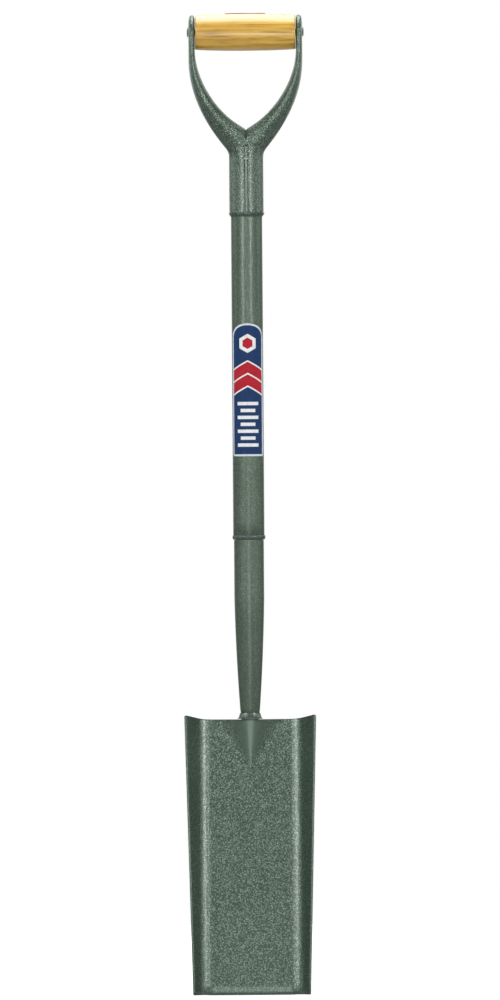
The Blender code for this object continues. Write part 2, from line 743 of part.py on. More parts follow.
def make_shaft_label():
    """Arched label wrapped round the front of the shaft."""
    top = SHAFT_TOP_Z - LABEL_DROP
    inner = SHAFT_RADIUS + LABEL_GAP
    outer = inner + LABEL_THICKNESS
    heights = [top - LABEL_HEIGHT]
    heights += [top - LABEL_ARCH * (1 - sin(radians(84.0) * i / 7)) for i in range(8)]
    rows = []
    for z in heights:
        rise = max(0.0, (z - (top - LABEL_ARCH)) / LABEL_ARCH)
        half = LABEL_WIDTH / 2 * sqrt(max(0.0, 1 - rise * rise))
        row = []
        for i in range(21):
            angle = mix(-half, half, i / 20) / SHAFT_RADIUS
            across, ahead = sin(angle), -cos(angle)
            row.append([Vector((r * across, SHAFT_Y + r * ahead, z)) for r in (inner, outer)])
        rows.append(row)
    return wrapped_sheet("shaft_label", rows, LABEL)


def make_grip_label():
    """Small label wrapped over the top and back of the grip."""
    rows = []
    for i in range(13):
        x = mix(-GRIP_LABEL_LENGTH / 2, GRIP_LABEL_LENGTH / 2, i / 12)
        inner = grip_radius(x) + LABEL_GAP
        outer = inner + LABEL_THICKNESS
        row = []
        for k in range(15):
            angle = mix(-GRIP_LABEL_FRONT, GRIP_LABEL_BACK, k / 14)
            row.append(
                [
                    Vector((x, SHAFT_Y + r * sin(angle), EYE_Z + r * cos(angle)))
                    for r in (inner, outer)
                ]
            )
        rows.append(row)
    return wrapped_sheet("grip_label", rows, LABEL_RED)


def main():
    """Build every piece of the shovel."""
    clear_scene()
    make_blade()
    make_socket()
    make_foot_weld()
    make_tail_weld()
    make_shaft()
    make_joint_weld()
    make_arm("hilt_arm_left", -1.0)
    make_arm("hilt_arm_right", 1.0)
    make_seam_weld("hilt_seam_weld_front", -1.0)
    make_seam_weld("hilt_seam_weld_rear", 1.0)
    make_hilt_ring_weld()
    make_grip()
    make_rivet()
    make_shaft_label()
    make_grip_label()


main()
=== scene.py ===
"""The looks of a cable laying shovel: hammered green enamel, a varnished grip, welds and labels.

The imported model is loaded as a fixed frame. Every visible piece is modelled again at a finer
grain over the node that it stands for, and takes its place from that node's box. Metres, +Z up
along the shaft; the hollow face of the blade looks towards -Y.
"""

import logging
from dataclasses import dataclass
from enum import Enum
from math import asin, atan, atan2, cos, hypot, pi, radians, sin, sqrt, tan
from typing import Sequence

import bmesh
import bpy
from bmesh.types import BMesh, BMVert
from mathutils import Matrix, Vector


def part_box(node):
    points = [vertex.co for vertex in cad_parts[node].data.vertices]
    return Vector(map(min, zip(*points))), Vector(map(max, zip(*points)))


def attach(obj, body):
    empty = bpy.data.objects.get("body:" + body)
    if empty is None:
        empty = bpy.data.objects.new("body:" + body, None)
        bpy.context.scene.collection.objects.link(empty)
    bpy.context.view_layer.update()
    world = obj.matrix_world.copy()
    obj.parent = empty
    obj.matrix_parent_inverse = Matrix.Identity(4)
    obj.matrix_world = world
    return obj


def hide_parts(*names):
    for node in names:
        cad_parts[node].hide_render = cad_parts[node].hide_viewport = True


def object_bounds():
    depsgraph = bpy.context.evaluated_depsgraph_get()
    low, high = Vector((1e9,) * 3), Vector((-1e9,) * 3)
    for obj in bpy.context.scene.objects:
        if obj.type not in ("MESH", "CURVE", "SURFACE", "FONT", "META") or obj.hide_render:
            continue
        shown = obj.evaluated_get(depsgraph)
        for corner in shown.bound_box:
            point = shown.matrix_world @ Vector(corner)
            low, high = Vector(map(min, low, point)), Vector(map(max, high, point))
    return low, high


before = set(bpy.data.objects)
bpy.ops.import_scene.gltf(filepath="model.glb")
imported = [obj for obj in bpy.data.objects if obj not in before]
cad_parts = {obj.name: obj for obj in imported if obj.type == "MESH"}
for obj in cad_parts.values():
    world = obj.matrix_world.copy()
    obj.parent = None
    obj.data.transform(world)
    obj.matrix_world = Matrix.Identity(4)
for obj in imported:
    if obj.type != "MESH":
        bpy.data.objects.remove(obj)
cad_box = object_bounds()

Color = tuple[float, float, float, float]
Place = tuple[float, float]
Waves = tuple[tuple[int, float], ...]
Wire = bpy.types.NodeSocket
Finish = bpy.types.Material

BODY = "root"

# Clearances between neighbouring pieces, as the solids keep them
GAP = 0.0003
LABEL_GAP = 0.0002

# Points of a mesh that lie closer together than this are one
MERGE = 1e-6
FINE_MERGE = 1e-7

# How far apart the places are from which a slope is taken
SLOPE_STEP = 0.0001

# Steepest slope of the bell (1 - x^2)^2 over a half width and a height of 1
BELL_SLOPE = 8.0 / sqrt(27.0)

# Turn of each wave in a hand-laid bead against the next, and how fast the waves wind along it
WAVE_OFFSET = 1.7
WAVE_PITCH = 40.0

ALONG_X = Vector((1.0, 0.0, 0.0))
ALONG_Z = Vector((0.0, 0.0, 1.0))
BLACK: Color = (0.0, 0.0, 0.0, 1.0)
WHITE: Color = (1.0, 1.0, 1.0, 1.0)

log = logging.getLogger("shovel")


class Slot(Enum):
    """The record's material slots."""

    PAINT = "painted_steel"
    WOOD = "varnished_wood"
    PRINT = "label_print"
    RED = "label_red"


class Side(Enum):
    """The two halves of the hilt, as seen from the front."""

    LEFT = -1.0
    RIGHT = 1.0


class Face(Enum):
    """The two faces of the sleeve that carry a seam."""

    FRONT = -1.0
    REAR = 1.0


def mix(low: float, high: float, share: float) -> float:
    """Value between two others.

    Args:
        low: The value at a share of 0.
        high: The value at a share of 1.
        share: How far to go from low to high.

    Returns:
        The value in between.
    """
    return low + (high - low) * share


def smooth_step(low: float, high: float, value: float) -> float:
    """Even ease from 0 to 1.

    Args:
        low: Where the ease starts.
        high: Where it ends.
        value: The place to look at.

    Returns:
        0 below low, 1 above high, and the ease between them.
    """
    share = min(1.0, max(0.0, (value - low) / (high - low)))
    return share * share * (3.0 - 2.0 * share)


def soft_max(a: float, b: float, blend: float) -> float:
    """Larger of two heights, with a fillet where they meet.

    Args:
        a: One height.
        b: The other height.
        blend: How far apart the heights are where the fillet starts.

    Returns:
        The filleted height.
    """
    near = max(0.0, 1.0 - abs(a - b) / blend)
    return max(a, b) + near * near * blend / 4


def steps(low: float, high: float, count: int) -> list[float]:
    """Evenly spaced values.

    Args:
        low: The first value.
        high: The last value.
        count: How many steps lie between them.

    Returns:
        One more value than there are steps.
    """
    return [mix(low, high, i / count) for i in range(count + 1)]


def lumps(turn: float, waves: Waves) -> float:
    """Unevenness of a bead laid by hand, which closes on itself after a full turn.

    Args:
        turn: Place along the bead, as an angle.
        waves: How many waves fit in a turn, and the height of each kind.

    Returns:
        Height over the even bead, 0 on average.
    """
    return sum(height * sin(count * turn + WAVE_OFFSET * count) for count, height in waves)


@dataclass(frozen=True)
class NodeBox:
    """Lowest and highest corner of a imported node, from which a piece takes its place."""

    low: Vector
    high: Vector

    @classmethod
    def of(cls, node: str) -> "NodeBox":
        """Read a node's box from the frame.

        Args:
            node: The node's name.

        Returns:
            Its box at rest.
        """
        low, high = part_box(node)
        return cls(low, high)

    @property
    def middle(self) -> Vector:
        """Centre of the box."""
        return (self.low + self.high) / 2

    @property
    def size(self) -> Vector:
        """Width, depth and height of the box."""
        return self.high - self.low


def next_ring(bm: BMesh, loop: Sequence[BMVert]) -> list[BMVert]:
    """Extrude a closed loop of vertices by its edges.

    Args:
        bm: The mesh that holds the loop.
        loop: The loop's vertices in order.

    Returns:
        The new loop, in the order of the old one.
    """
    edges = [bm.edges.get((a, b)) for a, b in zip(loop, [*loop[1:], loop[0]])]
    made = bmesh.ops.extrude_edge_only(bm, edges=edges)["geom"]
    fresh = {item for item in made if isinstance(item, BMVert)}
    return [next(e.other_vert(v) for e in v.link_edges if e.other_vert(v) in fresh) for v in loop]


def skin(bm: BMesh, sections: Sequence[Sequence[Vector]]) -> None:
    """Draw a circle into the first section, extrude it through the others and close both ends.

    Args:
        bm: The mesh to draw in.
        sections: Closed sections with equal counts of points.
    """
    made = bmesh.ops.create_circle(bm, cap_ends=False, segments=len(sections[0]), radius=1.0)
    loop = list(made["verts"])
    for number, section in enumerate(sections):
        if number:
            loop = next_ring(bm, loop)
        for vert, place in zip(loop, section):
            vert.co = place
    bmesh.ops.holes_fill(bm, edges=bm.edges[:], sides=len(loop))


def turn_profile(
    bm: BMesh,
    profile: Sequence[tuple[float, float]],
    centre: Vector,
    axis: Vector,
    count: int,
    closed: bool = True,
) -> None:
    """Spin a profile round an axis.

    Args:
        bm: The mesh to draw in.
        profile: Pairs of a radius and a height along the axis.
        centre: A point on the axis, from which the heights count.
        axis: The axis, a unit vector along X or Z.
        count: Steps in a full turn.
        closed: Whether the profile's last point joins its first.
    """
    side = ALONG_X if axis.z > 0.5 else ALONG_Z
    verts = [bm.verts.new(centre + side * radius + axis * height) for radius, height in profile]
    edges = [bm.edges.new(pair) for pair in zip(verts, verts[1:])]
    if closed:
        edges.append(bm.edges.new((verts[-1], verts[0])))
    bmesh.ops.spin(
        bm, geom=verts + edges, cent=centre, axis=axis, angle=2 * pi, steps=count, use_merge=True
    )
    bmesh.ops.remove_doubles(bm, verts=bm.verts[:], dist=MERGE)


def soften_edges(bm: BMesh, width: float, angle: float, segments: int = 3) -> None:
    """Bevel the edges that turn more than an angle.

    Args:
        bm: The closed mesh to soften.
        width: Width of the bevel.
        angle: The smallest turn that is softened.
        segments: Faces across the bevel.
    """
    edges = [e for e in bm.edges if e.is_manifold and e.calc_face_angle() > angle]
    bmesh.ops.bevel(
        bm,
        geom=edges,
        offset=width,
        offset_type="OFFSET",
        affect="EDGES",
        segments=segments,
        profile=0.5,
        material=-1,
        clamp_overlap=True,
    )


def roughen_ring(bm: BMesh, axis: Vector, foot: float, proud: float, waves: Waves) -> None:
    """Make a turned bead uneven where it stands proud of its foot.

    Args:
        bm: The turned bead.
        axis: A point on its upright axis.
        foot: Radius of the surface that it sits on.
        proud: How far it stands over its foot.
        waves: Counts and heights for lumps, as shares of proud.
    """
    for vert in bm.verts:
        spoke = Vector((vert.co.x - axis.x, vert.co.y - axis.y, 0.0))
        share = min(1.0, max(0.0, (spoke.length - foot) / proud))
        turn = atan2(spoke.x, -spoke.y) + WAVE_PITCH * vert.co.z
        vert.co += spoke.normalized() * proud * share * lumps(turn, waves)


def evaluated(blank: bpy.types.Object) -> BMesh:
    """Mesh of an object with its modifiers applied.

    Args:
        blank: The object.

    Returns:
        A new mesh.
    """
    bpy.context.view_layer.update()
    graph = bpy.context.evaluated_depsgraph_get()
    mesh = bpy.data.meshes.new_from_object(blank.evaluated_get(graph))
    bm = bmesh.new()
    bm.from_mesh(mesh)
    bpy.data.meshes.remove(mesh)
    return bm


def add_piece(
    bm: BMesh,
    name: str,
    node: str,
    finishes: Sequence[Finish],
    sharp: float = radians(40.0),
) -> bpy.types.Object:
    """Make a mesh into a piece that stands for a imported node.

    Args:
        bm: The finished mesh, which is freed.
        name: The piece's name.
        node: The node that it replaces.
        finishes: Its materials, the main one first.
        sharp: Edges that turn more than this stay sharp in the shading.

    Returns:
        The new object.
    """
    bmesh.ops.recalc_face_normals(bm, faces=bm.faces[:])
    mesh = bpy.data.meshes.new(name)
    bm.to_mesh(mesh)
    bm.free()
    mesh.shade_smooth()
    mesh.set_sharp_from_angle(angle=sharp)
    for finish in finishes:
        mesh.materials.append(finish)
    piece = bpy.data.objects.new(name, mesh)
    bpy.context.scene.collection.objects.link(piece)
    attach(piece, BODY)
    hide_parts(node)
    log.info("%s: %d faces, stands for %s", name, len(mesh.polygons), node)
    return piece


class Graph:
    """The node tree of a new material or world, with short ways to add and join nodes."""

    COLOR_A = 6
    COLOR_B = 7
    COLOR_OUT = 2

    def __init__(self, owner: Finish | bpy.types.World, shader: str = "Principled BSDF") -> None:
        """Switch on an owner's nodes.

        Args:
            owner: The new material or world.
            shader: Name of the shader node that it starts with.
        """
        owner.use_nodes = True
        self.owner = owner
        self.tree = owner.node_tree
        self.shader = self.tree.nodes[shader]

    def add(self, kind: str, inputs: dict | None = None, **options: object) -> bpy.types.Node:
        """Add a node.

        Args:
            kind: The node's type, without its prefix.
            inputs: Values or sockets for its inputs, by name or number.
            options: Values for its settings.

        Returns:
            The new node.
        """
        node = self.tree.nodes.new("ShaderNode" + kind)
        for key, value in options.items():
            setattr(node, key, value)
        for key, value in (inputs or {}).items():
            self.feed(node.inputs[key], value)
        return node

    def feed(self, socket: Wire, value: object) -> None:
        """Set an input, or join a socket to it.

        Args:
            socket: The input.
            value: A constant, or the socket to join.
        """
        if isinstance(value, Wire):
            self.tree.links.new(value, socket)
        else:
            socket.default_value = value

    def dress(self, **inputs: object) -> None:
        """Set the shader's own inputs, whose names are given with _ for a space."""
        for key, value in inputs.items():
            self.feed(self.shader.inputs[key.replace("_", " ")], value)

    def places(self, scale: Sequence[float]) -> Wire:
        """Object coordinates, stretched.

        Args:
            scale: Repeats per metre along X, Y and Z.

        Returns:
            The stretched coordinates.
        """
        coords = self.add("TexCoord").outputs["Object"]
        return self.add("Mapping", {"Vector": coords, "Scale": scale}).outputs["Vector"]

    def noise(self, places: Wire, detail: float, bent: float = 0.0) -> Wire:
        """Cloudy noise with a unit scale.

        Args:
            places: Coordinates.
            detail: Octaves beyond the first.
            bent: How far the noise bends its own coordinates.

        Returns:
            Values from 0 to 1.
        """
        inputs = {"Vector": places, "Scale": 1.0, "Detail": detail, "Distortion": bent}
        return self.add("TexNoise", inputs).outputs["Fac"]

    def math(self, operation: str, a: object, b: object, clamp: bool = False) -> Wire:
        """Arithmetic on two values.

        Args:
            operation: The node's operation.
            a: The first value or socket.
            b: The second value or socket.
            clamp: Whether the result is kept from 0 to 1.

        Returns:
            The result.
        """
        node = self.add("Math", {0: a, 1: b}, operation=operation, use_clamp=clamp)
        return node.outputs["Value"]

    def span(self, value: Wire, **ends: float) -> Wire:
        """Value moved from one range to another, and kept in it.

        Args:
            value: The value.
            ends: The ranges' ends that aren't 0 or 1, named with _ for a space.

        Returns:
            The moved value.
        """
        inputs = {key.replace("_", " "): end for key, end in ends.items()}
        return self.add("MapRange", {"Value": value, **inputs}).outputs["Result"]

    def ramp(
        self, value: Wire, stops: Sequence[tuple[float, Color]], ease: str = "LINEAR"
    ) -> Wire:
        """Colours along a value.

        Args:
            value: The value, from 0 to 1.
            stops: Places and their colours.
            ease: How the ramp goes from one colour to the next.

        Returns:
            The colour.
        """
        node = self.add("ValToRGB", {"Fac": value})
        node.color_ramp.interpolation = ease
        elements = node.color_ramp.elements
        while len(elements) < len(stops):
            elements.new(0.5)
        for element, (place, color) in zip(elements, stops):
            element.position = place
            element.color = color
        return node.outputs["Color"]

    def blend(self, share: object, a: object, b: object, mode: str = "MIX") -> Wire:
        """Mix of two colours.

        Args:
            share: How much of the second colour to take.
            a: The first colour.
            b: The second colour.
            mode: The way of mixing.

        Returns:
            The mixed colour.
        """
        inputs = {0: share, self.COLOR_A: a, self.COLOR_B: b}
        node = self.add("Mix", inputs, data_type="RGBA", blend_type=mode)
        return node.outputs[self.COLOR_OUT]

    def bump(self, height: Wire, strength: object, relief: float) -> Wire:
        """Surface relief.

        Args:
            height: The relief's shape, from 0 to 1.
            strength: How much of it shows.
            relief: Its full height in metres.

        Returns:
            The bent normal.
        """
        inputs = {"Height": height, "Strength": strength, "Distance": relief}
        return self.add("Bump", inputs).outputs["Normal"]


@dataclass(frozen=True)
class HammeredPaint:
    """Half gloss green enamel that dries in small raised cells round metal flakes."""

    name: str
    cell: float = 0.0015
    cell_bend: float = 0.35
    cell_depth: float = 0.9
    worm_height: float = 1.3
    height_lift: float = 0.20
    relief: float = 0.00022
    contrast: float = 1.0
    valley: Color = (0.050, 0.078, 0.061, 1.0)
    body: Color = (0.098, 0.144, 0.110, 1.0)
    crest: Color = (0.225, 0.29, 0.24, 1.0)
    clouds_per_metre: float = 14.0
    thick_cloud: Color = (0.92, 0.93, 0.92, 1.0)
    thin_cloud: Color = (1.06, 1.05, 1.06, 1.0)
    metallic: float = 0.70
    roughness: float = 0.36
    specular: float = 0.3
    tint: Color = (0.3, 0.34, 0.32, 1.0)
    coat: float = 0.5
    coat_roughness: float = 0.2
    calm_layer: str = ""
    # Attribute whose share mixes the colour towards black, a painted shade
    shade_layer: str = ""

    def cells(self, graph: Graph) -> Wire:
        """Height of the enamel: smooth bent cells with worm-like ridges between them.

        Args:
            graph: The material's nodes.

        Returns:
            The height, from 0 to 1.
        """
        per_metre = 1.0 / self.cell
        bend = graph.noise(graph.places((0.45 * per_metre,) * 3), 1.0)
        bent = graph.blend(self.cell_bend, graph.places((per_metre,) * 3), bend, "ADD")
        inputs = {"Vector": bent, "Scale": 1.0, "Smoothness": 0.4}
        pits = graph.add("TexVoronoi", inputs, feature="SMOOTH_F1").outputs["Distance"]
        worms = graph.noise(graph.places((1.1 * per_metre,) * 3), 1.0, 0.9)
        low = graph.math("MULTIPLY", pits, -self.cell_depth)
        height = graph.math("ADD", low, graph.math("MULTIPLY", worms, self.worm_height))
        return graph.math("ADD", height, self.height_lift, clamp=True)

    def color(self, graph: Graph, height: Wire, shown: Wire | float) -> Wire:
        """Colour of the enamel, which goes with its height and its clouds, darkened by a painted
        shade where a shade layer is given.

        Args:
            graph: The material's nodes.
            height: The enamel's height.
            shown: How much of the speckle shows.

        Returns:
            The colour.
        """
        stops = [(0.30, self.valley), (0.5, self.body), (0.72, self.crest)]
        color = graph.blend(shown, self.body, graph.ramp(height, stops))
        clouds = graph.noise(graph.places((self.clouds_per_metre,) * 3), 2.0)
        cloud = graph.ramp(clouds, [(0.3, self.thick_cloud), (0.7, self.thin_cloud)])
        color = graph.blend(1.0, color, cloud, "MULTIPLY")
        # Painted shade: the layer mixes the colour towards black
        if self.shade_layer:
            layer = graph.add("Attribute", attribute_name=self.shade_layer).outputs["Fac"]
            color = graph.blend(layer, color, BLACK)
        return color

    def material(self) -> Finish:
        """Build the enamel.

        Returns:
            The material.
        """
        graph = Graph(bpy.data.materials.new(self.name))
        height = self.cells(graph)
        shown = self.contrast
        if self.calm_layer:
            calm = graph.add("Attribute", attribute_name=self.calm_layer).outputs["Fac"]
            shown = graph.math("MULTIPLY", graph.math("SUBTRACT", 1.0, calm), self.contrast)
        graph.dress(
            Base_Color=self.color(graph, height, shown),
            Metallic=self.metallic,
            Roughness=self.roughness,
            Specular_IOR_Level=self.specular,
            Specular_Tint=self.tint,
            Coat_Weight=self.coat,
            Coat_Roughness=self.coat_roughness,
            Normal=graph.bump(height, shown, self.relief),
        )
        return graph.owner


@dataclass(frozen=True)
class VarnishedWood:
    """Pale hardwood turned with its grain along X, under a clear gloss varnish."""

    name: str
    pale: Color = (0.62, 0.375, 0.042, 1.0)
    warm: Color = (0.45, 0.24, 0.020, 1.0)
    dark: Color = (0.22, 0.095, 0.008, 1.0)
    bands_per_metre: tuple[float, float, float] = (9.0, 290.0, 290.0)
    lines_per_metre: tuple[float, float, float] = (24.0, 480.0, 480.0)
    pores_per_metre: tuple[float, float, float] = (130.0, 1500.0, 1500.0)
    line_share: float = 0.7
    pore_share: float = 0.5
    line_depth: float = 0.6
    relief: float = 0.0002
    relief_share: float = 0.35
    roughness: float = 0.42
    specular: float = 0.2
    coat_ior: float = 1.7
    coat_roughness: float = 0.27

    def material(self) -> Finish:
        """Build the wood.

        Returns:
            The material.
        """
        graph = Graph(bpy.data.materials.new(self.name))
        bands = graph.noise(graph.places(self.bands_per_metre), 3.0, 0.6)
        color = graph.ramp(bands, [(0.30, self.warm), (0.66, self.pale)], "EASE")
        noise = graph.noise(graph.places(self.lines_per_metre), 3.0, 0.4)
        lines = graph.ramp(noise, [(0.50, BLACK), (0.72, WHITE)])
        color = graph.blend(graph.math("MULTIPLY", lines, self.line_share), color, self.dark)
        noise = graph.noise(graph.places(self.pores_per_metre), 1.0)
        pores = graph.ramp(noise, [(0.66, BLACK), (0.74, WHITE)])
        color = graph.blend(graph.math("MULTIPLY", pores, self.pore_share), color, self.dark)
        height = graph.math("SUBTRACT", bands, graph.math("MULTIPLY", lines, self.line_depth))
        graph.dress(
            Base_Color=color,
            Roughness=self.roughness,
            Specular_IOR_Level=self.specular,
            Coat_Weight=1.0,
            Coat_IOR=self.coat_ior,
            Coat_Roughness=self.coat_roughness,
            Normal=graph.bump(height, self.relief_share, self.relief),
        )
        return graph.owner


@dataclass(frozen=True)
class Ink:
    """One printed colour of a label, with the film's faint orange peel."""

    name: str
    color: Color
    dim: float = 0.86
    grains_per_metre: float = 260.0
    relief: float = 0.00006
    relief_share: float = 0.3
    roughness: float = 0.5
    specular: float = 0.2

    def material(self) -> Finish:
        """Build the ink.

        Returns:
            The material.
        """
        graph = Graph(bpy.data.materials.new(self.name))
        grain = graph.noise(graph.places((self.grains_per_metre,) * 3), 2.0)
        dimmed = tuple(self.dim * part for part in self.color[:3]) + (1.0,)
        graph.dress(
            Base_Color=graph.ramp(grain, [(0.3, dimmed), (0.7, self.color)]),
            Roughness=self.roughness,
            Specular_IOR_Level=self.specular,
            Normal=graph.bump(grain, self.relief_share, self.relief),
        )
        return graph.owner


@dataclass
class Blade:
    """The pressed plate: flat floor, bent sides, bevelled cutting edge and a short tongue."""

    node: str = "blade_plate"
    length: float = 0.2840
    lift: float = radians(12.0)
    thickness: float = 0.0022
    floor_half: float = 0.0380
    bend_radius: float = 0.0190
    wall_angle: float = radians(52.0)
    rim_half_top: float = 0.0671
    rim_half_edge: float = 0.0599
    corner_radius: float = 0.0020
    edge_thickness: float = 0.0011
    edge_bevel: float = 0.0024
    side_cut_reach: float = 0.0300
    rim_round: float = 0.0007
    edge_round: float = 0.0003
    tongue_rise: float = 0.0115
    tongue_half: float = 0.0420
    top_round: float = 0.0003
    calm_layer: str = "calm"
    calm_half: float = 0.0272
    calm_length: float = 0.0530
    tongue_calm: float = 0.85
    wall_calm: float = 0.45
    edge_calm: float = 0.6
    edge_calm_reach: Place = (0.002, 0.007)
    # Painted shade, mixed towards black in the enamel's colour: on the tongue's ridge and flanks,
    # on the sides, under the weld's foot as a painted shadow, and along the top edge
    shade_layer: str = "shade"
    ridge_shade: float = 0.19
    flank_shade: float = 0.28
    flank_reach: Place = (0.004, 0.013)
    wall_shade: float = 0.22
    weld_shade: float = 0.55
    weld_shade_depth: float = 0.0048
    weld_shade_reach: Place = (0.010, 0.019)
    edge_shade: float = 0.60
    edge_shade_reach: Place = (0.0004, 0.0014)

    @property
    def edge_depth(self) -> float:
        """Depth of the end face's middle behind the front face."""
        return self.thickness - self.edge_thickness / 2

    @property
    def bend_arc(self) -> float:
        """Length of the bend along the section."""
        return self.bend_radius * self.wall_angle

    def on_plate(self, x: float, along: float, out: float) -> Vector:
        """Point of the tilted plate.

        Args:
            x: Place across.
            along: Distance from the cutting edge.
            out: Height over the floor's front face.

        Returns:
            The point in the frame.
        """
        out += self.edge_depth
        y = along * sin(self.lift) - out * cos(self.lift)
        return Vector((x, y, along * cos(self.lift) + out * sin(self.lift)))

    def axis_out(self, along: float) -> float:
        """Height of the shaft's axis over the front face, at a distance from the edge."""
        return (along - self.length) * tan(self.lift)

    @property
    def tongue_length(self) -> float:
        """Length of the tongue along the plate."""
        return self.tongue_rise / tan(self.lift)

    @property
    def tongue_flank(self) -> float:
        """Steepest slope of the tongue's section, which sets clearances square to it."""
        return atan(BELL_SLOPE * self.tongue_rise / self.tongue_half)

    def front_height(self, x: float, along: float) -> float:
        """Height of the front face over the flat floor: a bell that narrows to the tongue's tip.

        Args:
            x: Place across.
            along: Distance from the cutting edge.

        Returns:
            The height, 0 outside the tongue.
        """
        share = max(0.0, 1.0 + self.axis_out(along) / self.tongue_rise)
        reach = abs(x) / (self.tongue_half * max(share, 1e-6))
        return self.tongue_rise * share * max(0.0, 1.0 - reach * reach) ** 2

    def back_height(self, x: float, along: float) -> float:
        """Height of the back face over the flat floor, a full thickness behind the front.

        Args:
            x: Place across.
            along: Distance from the cutting edge.

        Returns:
            The height, which is below 0 outside the tongue.
        """
        left, right = (self.front_height(x + step, along) for step in (-SLOPE_STEP, SLOPE_STEP))
        slope = (right - left) / (2 * SLOPE_STEP)
        return self.front_height(x, along) - self.thickness * hypot(1.0, slope)

    def level_along(self, x: float, out: float, along: float) -> float:
        """Place along the plate, drawn so that the sides' and the tongue's ends are cut level.

        Args:
            x: Place across.
            out: Height over the floor's front face.
            along: Distance from the cutting edge, before the ends are drawn level.

        Returns:
            The drawn distance.
        """
        reach = self.side_cut_reach
        if along < reach:
            return mix(-max(0.0, out) * tan(self.lift), reach, along / reach)
        start = self.length - 2 * self.tongue_rise
        if along <= start:
            return along
        end = self.length
        for _ in range(4):
            end = self.length - self.front_height(x, end) * tan(self.lift)
        return mix(start, end, (along - start) / (self.length - start))

    def rim_arc(self, along: float) -> float:
        """Length of the section from the middle to the rim, less where a corner is rounded.

        Args:
            along: Distance from the cutting edge.

        Returns:
            The length.
        """
        half = mix(self.rim_half_edge, self.rim_half_top, along / self.length)
        half -= self.thickness * sin(self.wall_angle)
        bend_x = self.floor_half + self.bend_radius * sin(self.wall_angle)
        straight = (half - bend_x) / cos(self.wall_angle)
        inset = self.corner_radius - min(along, self.length - along)
        if inset > 0.0:
            straight -= self.corner_radius - sqrt(max(0.0, self.corner_radius**2 - inset**2))
        return self.floor_half + self.bend_arc + straight

    def arc_at(self, zone: float, along: float) -> float:
        """Distance from the middle, measured along the section.

        Args:
            zone: 0 to 1 over the floor, to 2 over the bend, to 3 over the side, to 4 at the rim.
            along: Distance from the cutting edge.

        Returns:
            The distance.
        """
        if zone <= 1.0:
            return self.floor_half * zone
        if zone <= 2.0:
            return self.floor_half + self.bend_arc * (zone - 1.0)
        rim = self.rim_arc(along)
        wall = rim - self.rim_round - self.floor_half - self.bend_arc
        if zone <= 3.0:
            return self.floor_half + self.bend_arc + wall * (zone - 2.0)
        return rim - self.rim_round * (1.0 - sin(pi / 2 * (zone - 3.0)))

    def rounding(self, zone: float, along: float) -> float:
        """How far a face drops where the outline is rounded.

        Args:
            zone: Place across, as in arc_at.
            along: Distance from the cutting edge.

        Returns:
            The drop, 0 away from the outline.
        """
        drop = self.rim_round * (1.0 - cos(pi / 2 * max(0.0, zone - 3.0)))
        for end, radius in ((along, self.edge_round), (self.length - along, self.top_round)):
            inset = max(0.0, radius - end)
            drop = max(drop, radius - sqrt(max(0.0, radius**2 - inset**2)))
        return drop

    def place(self, zone: float, along: float, front: bool) -> Vector:
        """Point on one face of the formed plate.

        Args:
            zone: Place across, as in arc_at.
            along: Distance from the cutting edge.
            front: True for the hollow face.

        Returns:
            The point in the frame.
        """
        arc = self.arc_at(zone, along)
        depth = self.thickness - self.rounding(zone, along)
        if front:
            bevel = max(0.0, 1.0 - along / self.edge_bevel)
            depth = self.rounding(zone, along) + (self.thickness - self.edge_thickness) * bevel
        turn = min(max((arc - self.floor_half) / self.bend_radius, 0.0), self.wall_angle)
        straight = max(0.0, arc - self.floor_half - self.bend_arc)
        x = min(arc, self.floor_half) + self.bend_radius * sin(turn) + straight * cos(turn)
        out = self.bend_radius * (1.0 - cos(turn)) + straight * sin(turn)
        x += depth * sin(turn)
        out -= depth * cos(turn)
        cut = self.level_along(x, out, along)
        out += self.front_height(x, cut) if front else self.back_height(x, cut) + self.thickness
        return self.on_plate(x, cut, out)

    def zones(self) -> list[float]:
        """Places across one half of the plate.

        Returns:
            Zones over the floor, the bend, the side and the rim, as in arc_at.
        """
        zones = [0.0]
        for start, count in enumerate((36, 12, 5, 4)):
            zones += steps(start, start + 1, count)[1:]
        return zones

    def rows(self) -> list[float]:
        """Places along the plate, closer together at both ends and along the tongue.

        Returns:
            Distances from the cutting edge, in order.
        """
        tongue = self.length - self.tongue_length
        top = self.length - self.corner_radius
        rows = [self.edge_round * (1.0 - cos(pi / 2 * t)) for t in steps(0.0, 1.0, 3)]
        rows += [t for t in steps(0.0, self.corner_radius, 5) if t > self.edge_round]
        rows.append(self.edge_bevel)
        rows += steps(self.corner_radius, tongue, 28)[1:] + steps(tongue, top, 56)[1:]
        rows += [self.length - self.corner_radius * (1.0 - t) for t in steps(0.0, 1.0, 5)[1:-1]]
        for t in steps(0.0, 1.0, 4):
            rows.append(self.length - self.top_round * (1.0 - sin(pi / 2 * t)))
        return sorted({round(t, 7) for t in rows})

    def on_tongue(self, x: float, along: float) -> float:
        """How much a place lies on the smooth tongue.

        Args:
            x: Place across.
            along: Distance from the cutting edge.

        Returns:
            1 on the tongue, fading to 0 on the hammered floor round it and at its tip.
        """
        share = 1.0 - (self.length - along) / self.calm_length
        if share <= 0.0:
            return 0.0
        edge = smooth_step(0.35, 1.35, abs(x) / (self.calm_half * share))
        return (1.0 - edge) * smooth_step(0.0, 0.4, share)

    def calm_at(self, zone: float, x: float, along: float) -> float:
        """How calm the enamel is: most on the tongue, less on the sides and at the cutting edge.

        Args:
            zone: Place across, as in arc_at.
            x: Place across in metres.
            along: Distance from the cutting edge.

        Returns:
            0 where the enamel is hammered, up to 1 where it is smooth.
        """
        side = self.wall_calm * smooth_step(1.45, 2.0, zone)
        edge = self.edge_calm * (1.0 - smooth_step(*self.edge_calm_reach, along))
        return max(self.tongue_calm * self.on_tongue(x, along), side, edge)

